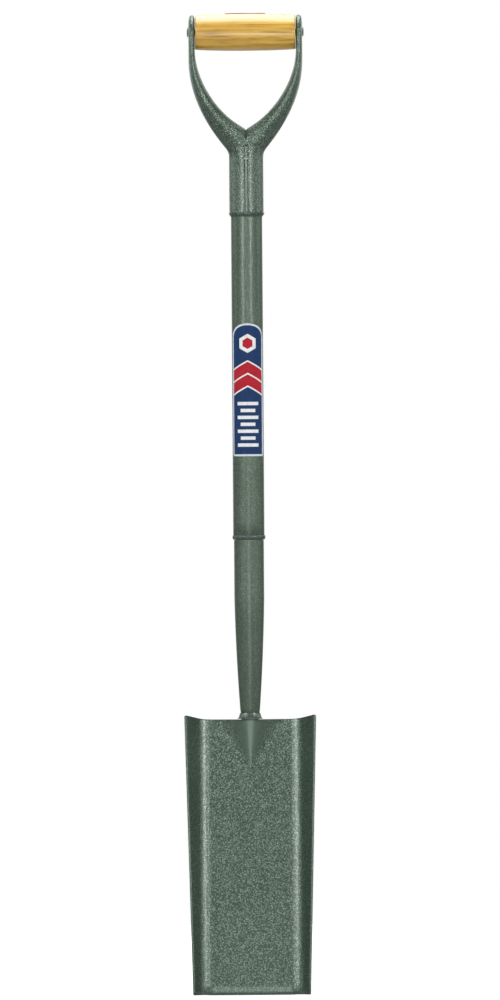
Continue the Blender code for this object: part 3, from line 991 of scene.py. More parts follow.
    def shade_at(self, zone: float, x: float, along: float) -> float:
        """Share of painted shade in the enamel's colour: painted shade on the tongue and the
        sides, and a painted shadow under the weld's foot and along the top edge.

        Args:
            zone: Place across, as in arc_at.
            x: Place across in metres.
            along: Distance from the cutting edge.

        Returns:
            The largest share for the tongue, the sides, the weld's foot and the top edge.
        """
        depth = self.length - along
        flank = mix(self.ridge_shade, self.flank_shade, smooth_step(*self.flank_reach, abs(x)))
        flank *= self.on_tongue(x, along)
        side = self.wall_shade * smooth_step(1.7, 2.2, zone)
        # Painted shadow under the weld's foot
        weld = self.weld_shade * (1.0 - smooth_step(0.0, self.weld_shade_depth, depth))
        weld *= 1.0 - smooth_step(*self.weld_shade_reach, abs(x))
        # Painted shade along the top edge
        edge = self.edge_shade * (1.0 - smooth_step(*self.edge_shade_reach, depth))
        return max(flank, side, weld, edge)

    def build(self, paint: Finish) -> None:
        """Form half of the plate from a grid, give it its back and mirror it.

        Args:
            paint: The enamel.
        """
        zones, rows = self.zones(), self.rows()
        bm = bmesh.new()
        zone_layer = bm.verts.layers.float.new("zone")
        along_layer = bm.verts.layers.float.new("along")
        calm_layer = bm.verts.layers.float.new(self.calm_layer)
        shade_layer = bm.verts.layers.float.new(self.shade_layer)
        made = bmesh.ops.create_grid(
            bm, x_segments=len(zones) - 1, y_segments=len(rows) - 1, size=1.0
        )
        for vert in made["verts"]:
            vert[zone_layer] = zones[round((vert.co.x + 1.0) / 2 * (len(zones) - 1))]
            vert[along_layer] = rows[round((vert.co.y + 1.0) / 2 * (len(rows) - 1))]
        front = set(bm.verts)
        bmesh.ops.extrude_face_region(bm, geom=bm.faces[:], use_keep_orig=True)
        middle = [f for f in bm.faces if all(v[zone_layer] < MERGE for v in f.verts)]
        bmesh.ops.delete(bm, geom=middle, context="FACES_ONLY")
        for vert in bm.verts:
            zone, along = vert[zone_layer], vert[along_layer]
            vert.co = self.place(zone, along, vert in front)
            vert[calm_layer] = self.calm_at(zone, vert.co.x, along)
            # Painted shade for the enamel's colour
            vert[shade_layer] = self.shade_at(zone, vert.co.x, along)
        half = bm.verts[:] + bm.edges[:] + bm.faces[:]
        bmesh.ops.mirror(bm, geom=half, axis="X", merge_dist=MERGE)
        bmesh.ops.remove_doubles(bm, verts=bm.verts[:], dist=FINE_MERGE)
        add_piece(bm, "painted_blade", self.node, [paint], radians(30.0))


@dataclass
class Socket:
    """Tapered tube between blade and shaft, with the welds round its foot and its tail."""

    blade: Blade
    node: str = "socket"
    straight_radius: float = 0.0152
    waist_radius: float = 0.0101
    wall: float = 0.0020
    straight: float = 0.0620
    waist_height: float = 0.0080
    swell: float = 0.55
    tail_length: float = 0.0590
    tail_tip: float = 0.0042
    tail_weld_start: float = 0.05
    shoulder_drop: float = 0.0025
    spigot_radius: float = 0.013975
    foot_width: float = 0.0026
    foot_height: float = 0.0060
    foot_reach: float = radians(98.0)
    foot_toe: float = 0.06
    foot_hollow: float = 2.2
    foot_wide_waves: Waves = ((9, 0.05), (17, 0.04), (31, 0.03))
    foot_tall_waves: Waves = ((7, 0.04), (19, 0.03), (29, 0.02))
    tail_bead: float = 0.0018
    tail_bead_even: float = 0.97
    tail_bead_sides: int = 16
    tail_waves: Waves = ((44, 0.045), (13, 0.04))
    sides: int = 72

    def __post_init__(self) -> None:
        """Take the axis and the joint from the shaft, and the foot from the blade."""
        shaft = NodeBox.of("shaft_tube")
        plate = self.blade
        self.axis_y = shaft.middle.y
        self.joint_z = shaft.low.z - GAP
        self.spigot_top = NodeBox.of(self.node).high.z
        self.tail_radius = plate.tongue_rise - plate.thickness - GAP
        self.top_edge_z = plate.on_plate(0.0, plate.length, 0.0).z
        self.tail_top_z = self.top_edge_z + plate.tongue_rise * sin(plate.lift) + 2 * GAP
        self.waist_z = self.tail_top_z + self.waist_height

    def radius_at(self, z: float) -> float:
        """Outer radius of the tube, from the tail's top up.

        Args:
            z: Height.

        Returns:
            The radius.
        """
        if z < self.waist_z:
            ease = smooth_step(self.tail_top_z, self.waist_z, z)
            return mix(self.tail_radius, self.waist_radius, ease)
        straight_z = self.joint_z - self.straight
        share = min(1.0, (z - self.waist_z) / (straight_z - self.waist_z))
        ease = share + self.swell * share * (1.0 - share)
        return mix(self.waist_radius, self.straight_radius, ease)

    def tail_half_width(self, share: float) -> float:
        """Half width of the tail, from its full width at 0 to its round tip at 1."""
        return self.tail_radius * sqrt(max(0.0, 1.0 - share**5))

    def tail_section(self, share: float) -> list[Vector]:
        """Section of the flattened tail behind the blade.

        Args:
            share: Place along the tail, 0 at the blade's top edge and 1 at the tip.

        Returns:
            The section's points, which start at the front.
        """
        plate = self.blade
        along = plate.length - self.tail_length * share
        reach = self.tail_radius / cos(plate.lift)
        clear = GAP / cos(plate.tongue_flank)
        axis = plate.axis_out(along)
        front = min(axis + reach, plate.back_height(0.0, along) - clear)
        back = mix(axis - reach, -plate.thickness - self.tail_tip, share**1.5)
        section = []
        for i in range(self.sides):
            angle = 2 * pi * i / self.sides
            x = self.tail_half_width(share) * sin(angle)
            out = (front + back) / 2 + (front - back) / 2 * cos(angle)
            out = min(out, plate.back_height(x, along) - clear)
            section.append(plate.on_plate(x, along, out))
        return section

    def level_section(self, radius: float, z: float) -> list[Vector]:
        """Level circle round the shaft's axis, with its points starting at the front."""
        turns = [2 * pi * i / self.sides for i in range(self.sides)]
        return [Vector((radius * sin(t), self.axis_y - radius * cos(t), z)) for t in turns]

    def make_tube(self, paint: Finish) -> None:
        """Tail, taper, shoulder, spigot and blind bore in one skin.

        Args:
            paint: The enamel.
        """
        sections = [self.tail_section(sin(radians(89.0) * t)) for t in steps(1.0, 0.0, 30)]
        straight_z = self.joint_z - self.straight
        shoulder = self.joint_z - self.shoulder_drop
        heights = steps(self.tail_top_z, self.waist_z, 8) + steps(self.waist_z, straight_z, 30)[1:]
        heights += steps(straight_z, shoulder, 12)[1:]
        sections += [self.level_section(self.radius_at(z), z) for z in heights]
        bore = self.spigot_radius - self.wall
        for radius, z in (
            (self.spigot_radius, shoulder),
            (self.spigot_radius, self.spigot_top),
            (bore, self.spigot_top),
        ):
            sections.append(self.level_section(radius, z))
        bore_bottom = self.top_edge_z + 3 * self.waist_height
        for z in steps(straight_z, bore_bottom, 12):
            sections.append(self.level_section(min(bore, self.radius_at(z) - self.wall), z))
        bm = bmesh.new()
        skin(bm, sections)
        add_piece(bm, "painted_socket", self.node, [paint])

    def foot_section(self, turn: float) -> list[Vector]:
        """Fillet section of the foot weld.

        Args:
            turn: Place round the socket, 0 at the front.

        Returns:
            The section's points.
        """
        wide = self.foot_width * (1.0 + lumps(turn, self.foot_wide_waves))
        tall = self.foot_height * (1.0 + lumps(turn, self.foot_tall_waves))
        outline = [(0.0, 0.0), (0.0, 1.0)]
        for share in steps(0.07, 1.0, 9):
            outline.append((share, mix(self.foot_toe, 1.0, (1.0 - share) ** self.foot_hollow)))
        outline.append((1.0, 0.0))
        section = []
        for share, rise in outline:
            reach = self.waist_radius + GAP + share * wide
            y = self.axis_y - reach * cos(turn)
            section.append(Vector((reach * sin(turn), y, self.top_edge_z + GAP + rise * tall)))
        return section

    def make_foot_weld(self, paint: Finish) -> None:
        """Lumpy fillet on the tongue's top edge, round the front and sides of the socket.

        Args:
            paint: The enamel on welds.
        """
        bm = bmesh.new()
        skin(bm, [self.foot_section(t) for t in steps(-self.foot_reach, self.foot_reach, 110)])
        add_piece(bm, "foot_weld_bead", "socket_foot_weld", [paint])

    def tail_path(self) -> list[Vector]:
        """Middle of the bead that runs down one side of the tail, round its tip and up again.

        Returns:
            The path's points.
        """
        plate, step = self.blade, 0.001
        half = []
        for turn in steps(0.0, radians(89.0), 44):
            share = mix(self.tail_weld_start, 1.0, sin(turn))
            width = self.tail_half_width(share)
            slope_x = self.tail_half_width(share - step) - width
            slope_a = self.tail_length * step
            offset = (self.tail_bead + GAP) / hypot(slope_x, slope_a)
            x = width + offset * slope_a
            along = plate.length - self.tail_length * share - offset * slope_x
            clear = (self.tail_bead + GAP) / cos(plate.tongue_flank)
            half.append((x, along, plate.back_height(x, along) - clear))
        path = [plate.on_plate(-x, along, out) for x, along, out in half]
        return path + [plate.on_plate(x, along, out) for x, along, out in reversed(half)]

    def make_tail_weld(self, paint: Finish) -> None:
        """Rippled round bead along the tail's path.

        Args:
            paint: The enamel on welds.
        """
        path = self.tail_path()
        outward = Vector((0.0, -cos(self.blade.lift), sin(self.blade.lift)))
        sections = []
        for number, place in enumerate(path):
            before, after = path[max(0, number - 1)], path[min(len(path) - 1, number + 1)]
            across = outward.cross(after - before).normalized()
            turn = 2 * pi * number / len(path)
            radius = self.tail_bead * (self.tail_bead_even + lumps(turn, self.tail_waves))
            turns = [2 * pi * i / self.tail_bead_sides for i in range(self.tail_bead_sides)]
            sections.append([place + radius * (across * cos(t) + outward * sin(t)) for t in turns])
        bm = bmesh.new()
        skin(bm, sections)
        add_piece(bm, "tail_weld_bead", "tail_weld", [paint])

    def build(self, paint: Finish, weld_paint: Finish) -> None:
        """Build the socket and its two welds.

        Args:
            paint: The enamel on the tube.
            weld_paint: The enamel on the welds.
        """
        self.make_tube(paint)
        self.make_foot_weld(weld_paint)
        self.make_tail_weld(weld_paint)


@dataclass
class Shaft:
    """Straight tube with the ring weld that joins it to the socket."""

    node: str = "shaft_tube"
    wall: float = 0.0016
    socket_radius: float = 0.0152
    spigot_radius: float = 0.013975
    bead_width: float = 0.0044
    bead_proud: float = 0.0009
    bead_waves: Waves = ((5, 0.10), (13, 0.12), (37, 0.12), (53, 0.08))
    end_round: float = 0.0003
    sides: int = 128

    def __post_init__(self) -> None:
        """Take the tube's size and place from its node."""
        box = NodeBox.of(self.node)
        self.axis = Vector((0.0, box.middle.y, 0.0))
        self.radius = box.size.x / 2
        self.low, self.high = box.low.z, box.high.z

    def make_tube(self, paint: Finish) -> None:
        """Plain tube with softened ends.

        Args:
            paint: The enamel.
        """
        bore = self.radius - self.wall
        profile = [(bore, self.low)] + [(self.radius, z) for z in steps(self.low, self.high, 24)]
        profile.append((bore, self.high))
        bm = bmesh.new()
        turn_profile(bm, profile, self.axis, ALONG_Z, self.sides)
        soften_edges(bm, self.end_round, radians(60.0), 2)
        add_piece(bm, "painted_shaft", self.node, [paint])

    def make_joint_weld(self, paint: Finish) -> None:
        """Uneven ring bead in the groove between shaft and socket.

        Args:
            paint: The enamel on welds.
        """
        low = self.low - GAP - self.bead_width / 2
        top, foot = low + self.bead_width, self.radius + GAP
        inner, seat = self.spigot_radius + GAP, self.low - GAP
        profile = [(inner, low), (inner, seat), (foot, seat)]
        for share in steps(0.0, 1.0, 16):
            bulge = self.bead_proud * sin(pi * share)
            height = mix(top, low, (1.0 - cos(pi * share)) / 2)
            profile.append((mix(foot, self.socket_radius, share) + bulge, height))
        bm = bmesh.new()
        turn_profile(bm, profile, self.axis, ALONG_Z, 2 * self.sides)
        roughen_ring(bm, self.axis, self.socket_radius, self.bead_proud, self.bead_waves)
        add_piece(bm, "joint_weld_bead", "shaft_socket_weld", [paint])

    def build(self, paint: Finish, weld_paint: Finish) -> None:
        """Build the tube and its ring weld.

        Args:
            paint: The enamel on the tube.
            weld_paint: The enamel on the weld.
        """
        self.make_tube(paint)
        self.make_joint_weld(weld_paint)


@dataclass
class Hilt:
    """The two pressed arms with their half sleeves and eyes, the welds and the grip's rivet."""

    sleeve_radius: float = 0.0174
    sleeve_top: float = 0.0610
    crotch_rise: float = 0.0235
    eye_radius: float = 0.0175
    half_depth: float = 0.0166
    inner_flat: Place = (5.0, 0.25)
    outer_flat: Place = (4.0, 0.35)
    shoulder_drop: float = 0.0280
    inner_drop: float = 0.0150
    ridge_share: float = 0.44
    root_blend: float = 0.0040
    merge_rise: float = 0.0030
    crotch_share: float = 0.155
    crotch_power: float = 8.0
    seam_half: float = 0.00001
    seam_round: float = 0.0024
    bore_step: float = 0.0016
    slot_step: float = 0.0015
    rivet_radius: float = 0.00325
    rivet_head: float = 0.0052
    rivet_rise: float = 0.0013
    rivet_sides: int = 64
    drill_sides: int = 48
    bead_width: float = 0.0022
    bead_proud: float = 0.0003
    seam_groove: float = 0.0008
    seam_top: float = 0.0064
    seam_crown: float = 0.72
    seam_dome: float = 0.20
    seam_scallop: float = 0.08
    seam_taper: float = 0.2
    seam_waves: Waves = ((3, 0.00012), (7, 0.00008))
    ring_width: float = 0.0044
    ring_proud: float = 0.0017
    ring_crown: float = 0.9
    ring_lean: float = 1.15
    ring_waves: Waves = ((3, 0.05), (11, 0.07), (29, 0.10), (47, 0.08))
    ripple: float = 0.0021
    points: int = 37
    sides: int = 256

    def __post_init__(self) -> None:
        """Take the axes and heights from the arms, the shaft and the grip."""
        names = ("hilt_arm_right", "shaft_tube", "grip")
        arm, shaft, grip = (NodeBox.of(name) for name in names)
        self.axis = Vector((0.0, shaft.middle.y, 0.0))
        self.bore = shaft.size.x / 2 + GAP
        self.shaft_top = shaft.high.z
        self.sleeve_z = arm.low.z
        self.root_z = self.sleeve_z + self.sleeve_top
        self.crotch_z = self.root_z + self.crotch_rise
        self.eye_z = grip.middle.z
        self.inner_x = grip.high.x + GAP
        self.outer_x = arm.high.x
        self.slot_half = self.bead_width / 2 + self.seam_groove
        self.slot_end = self.root_z + self.seam_top

    def outer_at(self, z: float) -> float:
        """Outer line of an arm: a parabola from the sleeve to the shoulder.

        Args:
            z: Height.

        Returns:
            Distance from the middle.
        """
        shoulder_z = self.eye_z - self.shoulder_drop
        if z >= shoulder_z:
            return self.outer_x
        share = (shoulder_z - z) / (shoulder_z - self.root_z)
        spread = mix(self.outer_x, self.sleeve_radius, share * share)
        return soft_max(spread, self.sleeve_radius, self.root_blend)

    def inner_at(self, z: float) -> float:
        """Inner line of an arm, which runs past the middle below the crotch.

        Args:
            z: Height.

        Returns:
            Distance from the middle, below 0 past it.
        """
        inner_z = self.eye_z - self.inner_drop
        if z >= inner_z:
            return self.inner_x
        share = (inner_z - z) / (inner_z - self.crotch_z)
        return self.inner_x * (1.0 - mix(share**2, share**self.crotch_power, self.crotch_share))

    def ridge_at(self, z: float) -> float:
        """Line of an arm's front and rear edges.

        Args:
            z: Height.

        Returns:
            Distance from the middle.
        """
        open_z = max(z, self.crotch_z)
        inner = self.inner_at(open_z)
        ridge = inner + self.ridge_share * (self.outer_at(open_z) - inner)
        merge_z = self.root_z + self.merge_rise
        share = min(1.0, max(0.0, (z - merge_z) / (self.crotch_z - merge_z)))
        return max(self.seam_half, ridge * share)

    def depth_at(self, z: float) -> float:
        """Half of an arm's depth from front to back.

        Args:
            z: Height.

        Returns:
            The half depth, which follows the eye's circle at the top.
        """
        neck_z = self.eye_z - 2 * self.eye_radius
        low = mix(self.sleeve_radius, self.half_depth, smooth_step(self.root_z, neck_z, z))
        depth = mix(low, self.eye_radius, smooth_step(neck_z, self.eye_z, z))
        rise = max(0.0, z - self.eye_z)
        return min(depth, sqrt(max(self.eye_radius**2 - rise**2, 1e-9)))

    def bulge(self, y: float, z: float, inner: bool) -> float:
        """Share of the full thickness at a point of the section, round below and flat at the eye.

        Args:
            y: Distance from the arm's middle, front or rear.
            z: Height.
            inner: True for the side that faces the hand.

        Returns:
            1 in the middle, falling to 0 at the arm's edge.
        """
        rise = max(0.0, z - self.eye_z)
        reach = hypot(y, rise) / self.eye_radius if rise > 0.0 else abs(y) / self.depth_at(z)
        radius = self.eye_radius
        eye = smooth_step(self.eye_z - 2 * radius, self.eye_z - 0.7 * radius, z)
        flat_power, flat_root = self.inner_flat if inner else self.outer_flat
        power, root = mix(2.0, flat_power, eye), mix(0.5, flat_root, eye)
        return max(0.0, 1.0 - min(1.0, reach) ** power) ** root

    def outer_line(self, z: float, ridge: float) -> list[tuple[float, float]]:
        """Outer half of a section, from front to rear.

        Args:
            z: Height.
            ridge: Distance of the arm's front and rear edges from the middle.

        Returns:
            Pairs of x and y.
        """
        depth, outer = self.depth_at(z), self.outer_at(z)
        start = asin(self.slot_half / self.sleeve_radius) if z <= self.slot_end else 0.0
        line = []
        for angle in steps(start, pi - start, self.points - 1):
            y = -depth * cos(angle)
            if start:
                line.append((outer * sin(angle), y))
            else:
                line.append((ridge + (outer - ridge) * self.bulge(y, z, False), y))
        return line

    def inner_line(self, z: float, ridge: float) -> list[tuple[float, float]]:
        """Inner half of a section, from front to rear.

        Args:
            z: Height.
            ridge: Distance of the arm's front and rear edges from the middle.

        Returns:
            Pairs of x and y.
        """
        if z <= self.shaft_top + GAP:
            start = asin(self.slot_half / self.bore)
            angles = steps(start, pi - start, self.points - 1)
            return [(self.bore * sin(a), -self.bore * cos(a)) for a in angles]
        if z <= self.slot_end:
            line = [(self.seam_half, y) for y in steps(-self.bore, self.bore, self.points - 3)]
            return [(self.slot_half, -self.bore), *line, (self.slot_half, self.bore)]
        line = []
        for angle in steps(0.0, pi, self.points - 1):
            y = -0.999 * self.depth_at(z) * cos(angle)
            bent = ridge - (ridge - self.inner_at(z)) * self.bulge(y, z, True)
            line.append((soft_max(self.seam_half, bent, self.seam_round), y))
        return line

    def section(self, z: float, side: Side) -> list[Vector]:
        """Closed section of an arm at a height.

        Args:
            z: Height.
            side: Which arm.

        Returns:
            The section's points.
        """
        ridge = self.ridge_at(z)
        line = self.outer_line(z, ridge) + self.inner_line(z, ridge)[::-1]
        return [Vector((side.value * x, self.axis.y + y, z)) for x, y in line]

    def heights(self) -> list[float]:
        """Heights of an arm's sections.

        Returns:
            Heights over the sleeve, the root, the arm and the round of the eye.
        """
        bore_end = self.shaft_top + GAP
        step_end = bore_end + self.bore_step
        heights = steps(self.sleeve_z, bore_end, 16) + [step_end]
        heights += steps(step_end, self.root_z, 3)[1:] + steps(self.root_z, self.slot_end, 6)[1:]
        heights += steps(self.slot_end + self.slot_step, self.eye_z, 84)
        turns = steps(0.0, radians(88.5), 20)[1:]
        return heights + [self.eye_z + self.eye_radius * sin(turn) for turn in turns]

    def drilled(self, arm: BMesh, side: Side) -> BMesh:
        """Cut the rivet's hole through an arm's eye.

        Args:
            arm: The arm's mesh, which is freed.
            side: Which arm.

        Returns:
            The arm with its hole.
        """
        drill = bmesh.new()
        radius, reach = self.rivet_radius + GAP, self.outer_x - self.inner_x
        centre = Vector((side.value * (self.inner_x + self.outer_x) / 2, self.axis.y, self.eye_z))
        profile = [(0.0, -reach), (radius, -reach), (radius, reach), (0.0, reach)]
        turn_profile(drill, profile, centre, ALONG_X, self.drill_sides, False)
        shapes = []
        for name, bm in (("arm_blank", arm), ("drill", drill)):
            bmesh.ops.recalc_face_normals(bm, faces=bm.faces[:])
            mesh = bpy.data.meshes.new(name)
            bm.to_mesh(mesh)
            bm.free()
            shapes.append(bpy.data.objects.new(name, mesh))
            bpy.context.scene.collection.objects.link(shapes[-1])
        cut = shapes[0].modifiers.new("rivet_hole", "BOOLEAN")
        cut.operation = "DIFFERENCE"
        cut.object = shapes[1]
        made = evaluated(shapes[0])
        for shape in shapes:
            bpy.data.meshes.remove(shape.data)
        return made

    def make_arm(self, side: Side, paint: Finish) -> None:
        """One pressed half of the hilt.

        Args:
            side: Which arm.
            paint: The enamel.
        """
        bm = bmesh.new()
        skin(bm, [self.section(z, side) for z in self.heights()])
        drilled = self.drilled(bm, side)
        name = side.name.lower()
        add_piece(drilled, "painted_arm_" + name, "hilt_arm_" + name, [paint])

    def make_seam_weld(self, face: Face, paint: Finish) -> None:
        """Rippled bead in the slot between the two half sleeves.

        Args:
            face: Front or rear.
            paint: The enamel on welds.
        """
        start, foot = self.sleeve_z + GAP, self.bore + GAP
        proud = self.sleeve_radius + self.bead_proud - foot
        length = self.slot_end - start
        sections = []
        for share in steps(0.0, 1.0, 150):
            taper = mix(self.seam_taper, 1.0, sqrt(max(0.0, 1.0 - share**12)))
            scallop = abs(sin(pi * share * length / self.ripple))
            wander = lumps(2 * pi * share, self.seam_waves)
            half = self.bead_width / 2 * taper
            dome = self.seam_dome + self.seam_scallop * scallop
            outline = []
            for turn in steps(0.0, pi, 12):
                crown = self.seam_crown * taper + dome * sin(turn)
                outline.append((wander * sin(turn) - half * cos(turn), foot + proud * crown))
            outline += [(half * cos(turn), foot) for turn in steps(0.0, pi, 8)]
            z = start + length * share
            sections.append([Vector((x, self.axis.y + face.value * y, z)) for x, y in outline])
        bm = bmesh.new()
        skin(bm, sections)
        name = face.name.lower()
        add_piece(bm, "seam_bead_" + name, "hilt_seam_weld_" + name, [paint])

    def make_ring_weld(self, paint: Finish) -> None:
        """Lumpy ring bead round the shaft, just under the sleeve.

        Args:
            paint: The enamel on welds.
        """
        low = self.sleeve_z - GAP - self.ring_width
        profile = []
        for turn in steps(0.0, pi, 18):
            rise = (1.0 - cos(turn)) / 2
            swell = sin(pi / 2 * min(1.0, self.ring_lean * rise)) if rise < 1.0 else 0.0
            proud = self.ring_proud * self.ring_crown * swell
            profile.append((self.bore + proud, low + self.ring_width * rise))
        bm = bmesh.new()
        turn_profile(bm, profile, self.axis, ALONG_Z, self.sides)
        roughen_ring(bm, self.axis, self.bore, self.ring_proud, self.ring_waves)
        add_piece(bm, "ring_weld_bead", "hilt_ring_weld", [paint])

    def make_rivet(self, paint: Finish) -> None:
        """Pin through both eyes and the grip, with a domed head on each side.

        Args:
            paint: The enamel.
        """
        seat = self.outer_x + GAP
        half = [(self.rivet_radius, 0.0), (self.rivet_radius, seat), (self.rivet_head, seat)]
        for turn in steps(0.15 * pi, pi / 2, 12):
            half.append((self.rivet_head * cos(turn), seat + self.rivet_rise * sin(turn)))
        half[-1] = (0.0, seat + self.rivet_rise)
        profile = [(radius, -x) for radius, x in reversed(half[1:])] + half[1:]
        bm = bmesh.new()
        centre = Vector((0.0, self.axis.y, self.eye_z))
        turn_profile(bm, profile, centre, ALONG_X, self.rivet_sides, False)
        add_piece(bm, "closed_rivet", "grip_rivet", [paint])

    def build(
        self,
        paint: Finish,
        seam_highlight_paint: Finish,
        weld_paint: Finish,
    ) -> None:
        """Build the arms, their welds and the rivet.

        Args:
            paint: The enamel on the arms and the rivet.
            seam_highlight_paint: The enamel on the seam beads, painted lighter as a painted
                highlight on the bead.
            weld_paint: The enamel on the ring weld.
        """
        for side in Side:
            self.make_arm(side, paint)
        for face in Face:
            self.make_seam_weld(face, seam_highlight_paint)
        self.make_ring_weld(weld_paint)
        self.make_rivet(paint)


@dataclass
class Grip:
    """Turned wooden barrel between the eyes."""

    node: str = "grip"
    end_radius: float = 0.0176
    end_round: float = 0.0014
    bore: float = 0.00355
    barrel: float = 2.4
    sides: int = 128

    def __post_init__(self) -> None:
        """Take the barrel's size and place from its node."""
        box = NodeBox.of(self.node)
        self.centre = box.middle
        self.half = box.size.x / 2
        self.radius = box.size.z / 2

    def radius_at(self, x: float) -> float:
        """Radius of the barrel at a distance from its middle."""
        return mix(self.radius, self.end_radius, (abs(x) / self.half) ** self.barrel)

    def build(self, wood: Finish) -> None:
        """Spin the barrel with its bore and rounded ends.

        Args:
            wood: The varnished wood.
        """
        half = []
        for turn in steps(0.0, pi / 2, 8):
            x = self.half - self.end_round * (1.0 - cos(turn))
            half.append((self.radius_at(x) - self.end_round * (1.0 - sin(turn)), x))
        half += [(self.radius_at(x), x) for x in steps(self.half - 2 * self.end_round, 0.0, 24)]
        mirrored = [(radius, -x) for radius, x in reversed(half[:-1])]
        profile = [(self.bore, self.half), *half, *mirrored, (self.bore, -self.half)]
        bm = bmesh.new()
        turn_profile(bm, profile, self.centre, ALONG_X, self.sides)
        add_piece(bm, "wooden_grip", self.node, [wood])


class Field(Enum):
    """The printed fields of a label, in the order of its piece's materials."""

    GROUND = 0
    BORDER = 1
    WHITE = 2
    ACCENT = 3


@dataclass(frozen=True)
class Cut:
    """Straight cut through the printed fields whose middles lie in a window of the flat film."""

    point: Place
    normal: Place
    low: Place
    high: Place

    def make(self, bm: BMesh) -> None:
        """Cut the fields of a flat film that lies in the XY plane.

        Args:
            bm: The film.
        """
        geom = {}
        for face in bm.faces:
            place = face.calc_center_bounds()
            inside = all(self.low[i] < place[i] < self.high[i] for i in (0, 1))
            if inside and face.material_index != Field.BORDER.value:
                geom.update(dict.fromkeys([face, *face.edges, *face.verts]))
        point, normal = (*self.point, 0.0), (*self.normal, 0.0)
        bmesh.ops.bisect_plane(
            bm, geom=list(geom), dist=FINE_MERGE, plane_co=point, plane_no=normal
        )


@dataclass(frozen=True)
class Hexagon:
    """Upright hexagon with a second one inside it."""

    centre: Place
    apothem: float
    core: float

    @property
    def turns(self) -> list[float]:
        """Angles of the six sides' normals."""
        return steps(0.0, 5 * pi / 3, 5)

    def cuts(self) -> list[Cut]:
        """Find the cuts along the sides of both hexagons.

        Returns:
            The cuts.
        """
        reach = 1.6 * self.apothem
        low = (self.centre[0] - reach, self.centre[1] - reach)
        high = (self.centre[0] + reach, self.centre[1] + reach)
        made = []
        for size in (self.apothem, self.core):
            for turn in self.turns:
                normal = (cos(turn), sin(turn))
                point = tuple(c + size * n for c, n in zip(self.centre, normal))
                made.append(Cut(point, normal, low, high))
        return made

    def field_at(self, u: float, v: float) -> Field | None:
        """Field at a place of the flat film.

        Args:
            u: Place across.
            v: Place up the film.

        Returns:
            White in the outer hexagon, the accent in the inner one, nothing outside.
        """
        across, up = u - self.centre[0], v - self.centre[1]
        reach = max(across * cos(turn) + up * sin(turn) for turn in self.turns)
        if reach < self.core:
            return Field.ACCENT
        return Field.WHITE if reach < self.apothem else None


@dataclass(frozen=True)
class Bars:
    """Level white bars, one over the other."""

    middles: Sequence[float]
    half_widths: Sequence[float]
    height: float

    def cuts(self, low: float, high: float) -> list[Cut]:
        """Find the cuts round the bars.

        Args:
            low: Height under all the bars.
            high: Height over all of them.

        Returns:
            The cuts.
        """
        wide, made = 1.0, []
        for middle, half in zip(self.middles, self.half_widths):
            bottom, top = middle - self.height / 2, middle + self.height / 2
            for v in (bottom, top):
                made.append(Cut((0.0, v), (0.0, 1.0), (-wide, low), (wide, high)))
            for u in (-half, half):
                made.append(Cut((u, middle), (1.0, 0.0), (-wide, bottom), (wide, top)))
        return made

    def field_at(self, u: float, v: float) -> Field | None:
        """Field at a place of the flat film.

        Args:
            u: Place across.
            v: Place up the film.

        Returns:
            White in a bar, nothing between them.
        """
        for middle, half in zip(self.middles, self.half_widths):
            if abs(v - middle) < self.height / 2 and abs(u) < half:
                return Field.WHITE
        return None


@dataclass
class Film:
    """Printed film that is drawn flat, cut into fields, bent onto its seat and thickened."""

    name: str
    node: str
    slot: Slot
    corner: float
    border: float
    grain: Place
    thickness: float = 0.00028

    def rounded(self, u: float, v: float, start: float) -> list[Place]:
        """Quarter circle of the outline, anticlockwise about a point from an angle."""
        turns = steps(start, start + pi / 2, 6)
        return [(u + self.corner * cos(t), v + self.corner * sin(t)) for t in turns]

    def outline(self) -> list[Place]:
        """Outline of the flat film, anticlockwise."""
        raise NotImplementedError

    def cuts(self) -> list[Cut]:
        """Cuts between the printed fields."""
        raise NotImplementedError

    def field_at(self, u: float, v: float) -> Field:
        """Printed field at a place of the flat film."""
        raise NotImplementedError

    def seat(self, u: float, v: float, lift: float) -> Vector:
        """Where a place of the flat film goes, at a height over its underside."""
        raise NotImplementedError

    def build(self, inks: Sequence[Finish]) -> None:
        """Make the film into a piece.

        Args:
            inks: One material for each field, in the fields' order.
        """
        outline = self.outline()
        bm = bmesh.new()
        made = bmesh.ops.create_circle(bm, cap_ends=True, segments=len(outline), radius=1.0)
        for vert, (u, v) in zip(made["verts"], outline):
            vert.co = (u, v, 0.0)
        rim = bmesh.ops.inset_region(
            bm, faces=bm.faces[:], thickness=self.border, use_boundary=True, use_even_offset=True
        )
        for face in rim["faces"]:
            face.material_index = Field.BORDER.value
        for cut in self.cuts():
            cut.make(bm)
        for face in bm.faces:
            if face.material_index != Field.BORDER.value:
                place = face.calc_center_median()
                face.material_index = self.field_at(place.x, place.y).value
        for axis, grain in enumerate(self.grain):
            reach = max(point[axis] for point in outline)
            normal = [float(i == axis) for i in range(3)]
            for place in steps(-reach, reach, max(1, int(2 * reach / grain)))[1:-1]:
                point = [place * part for part in normal]
                geom = bm.verts[:] + bm.edges[:] + bm.faces[:]
                bmesh.ops.bisect_plane(
                    bm, geom=geom, dist=FINE_MERGE, plane_co=point, plane_no=normal
                )
        under = set(bm.verts)
        bmesh.ops.extrude_face_region(bm, geom=bm.faces[:], use_keep_orig=True)
        for vert in bm.verts:
            vert.co = self.seat(vert.co.x, vert.co.y, 0.0 if vert in under else self.thickness)
        add_piece(bm, self.name, self.node, inks)


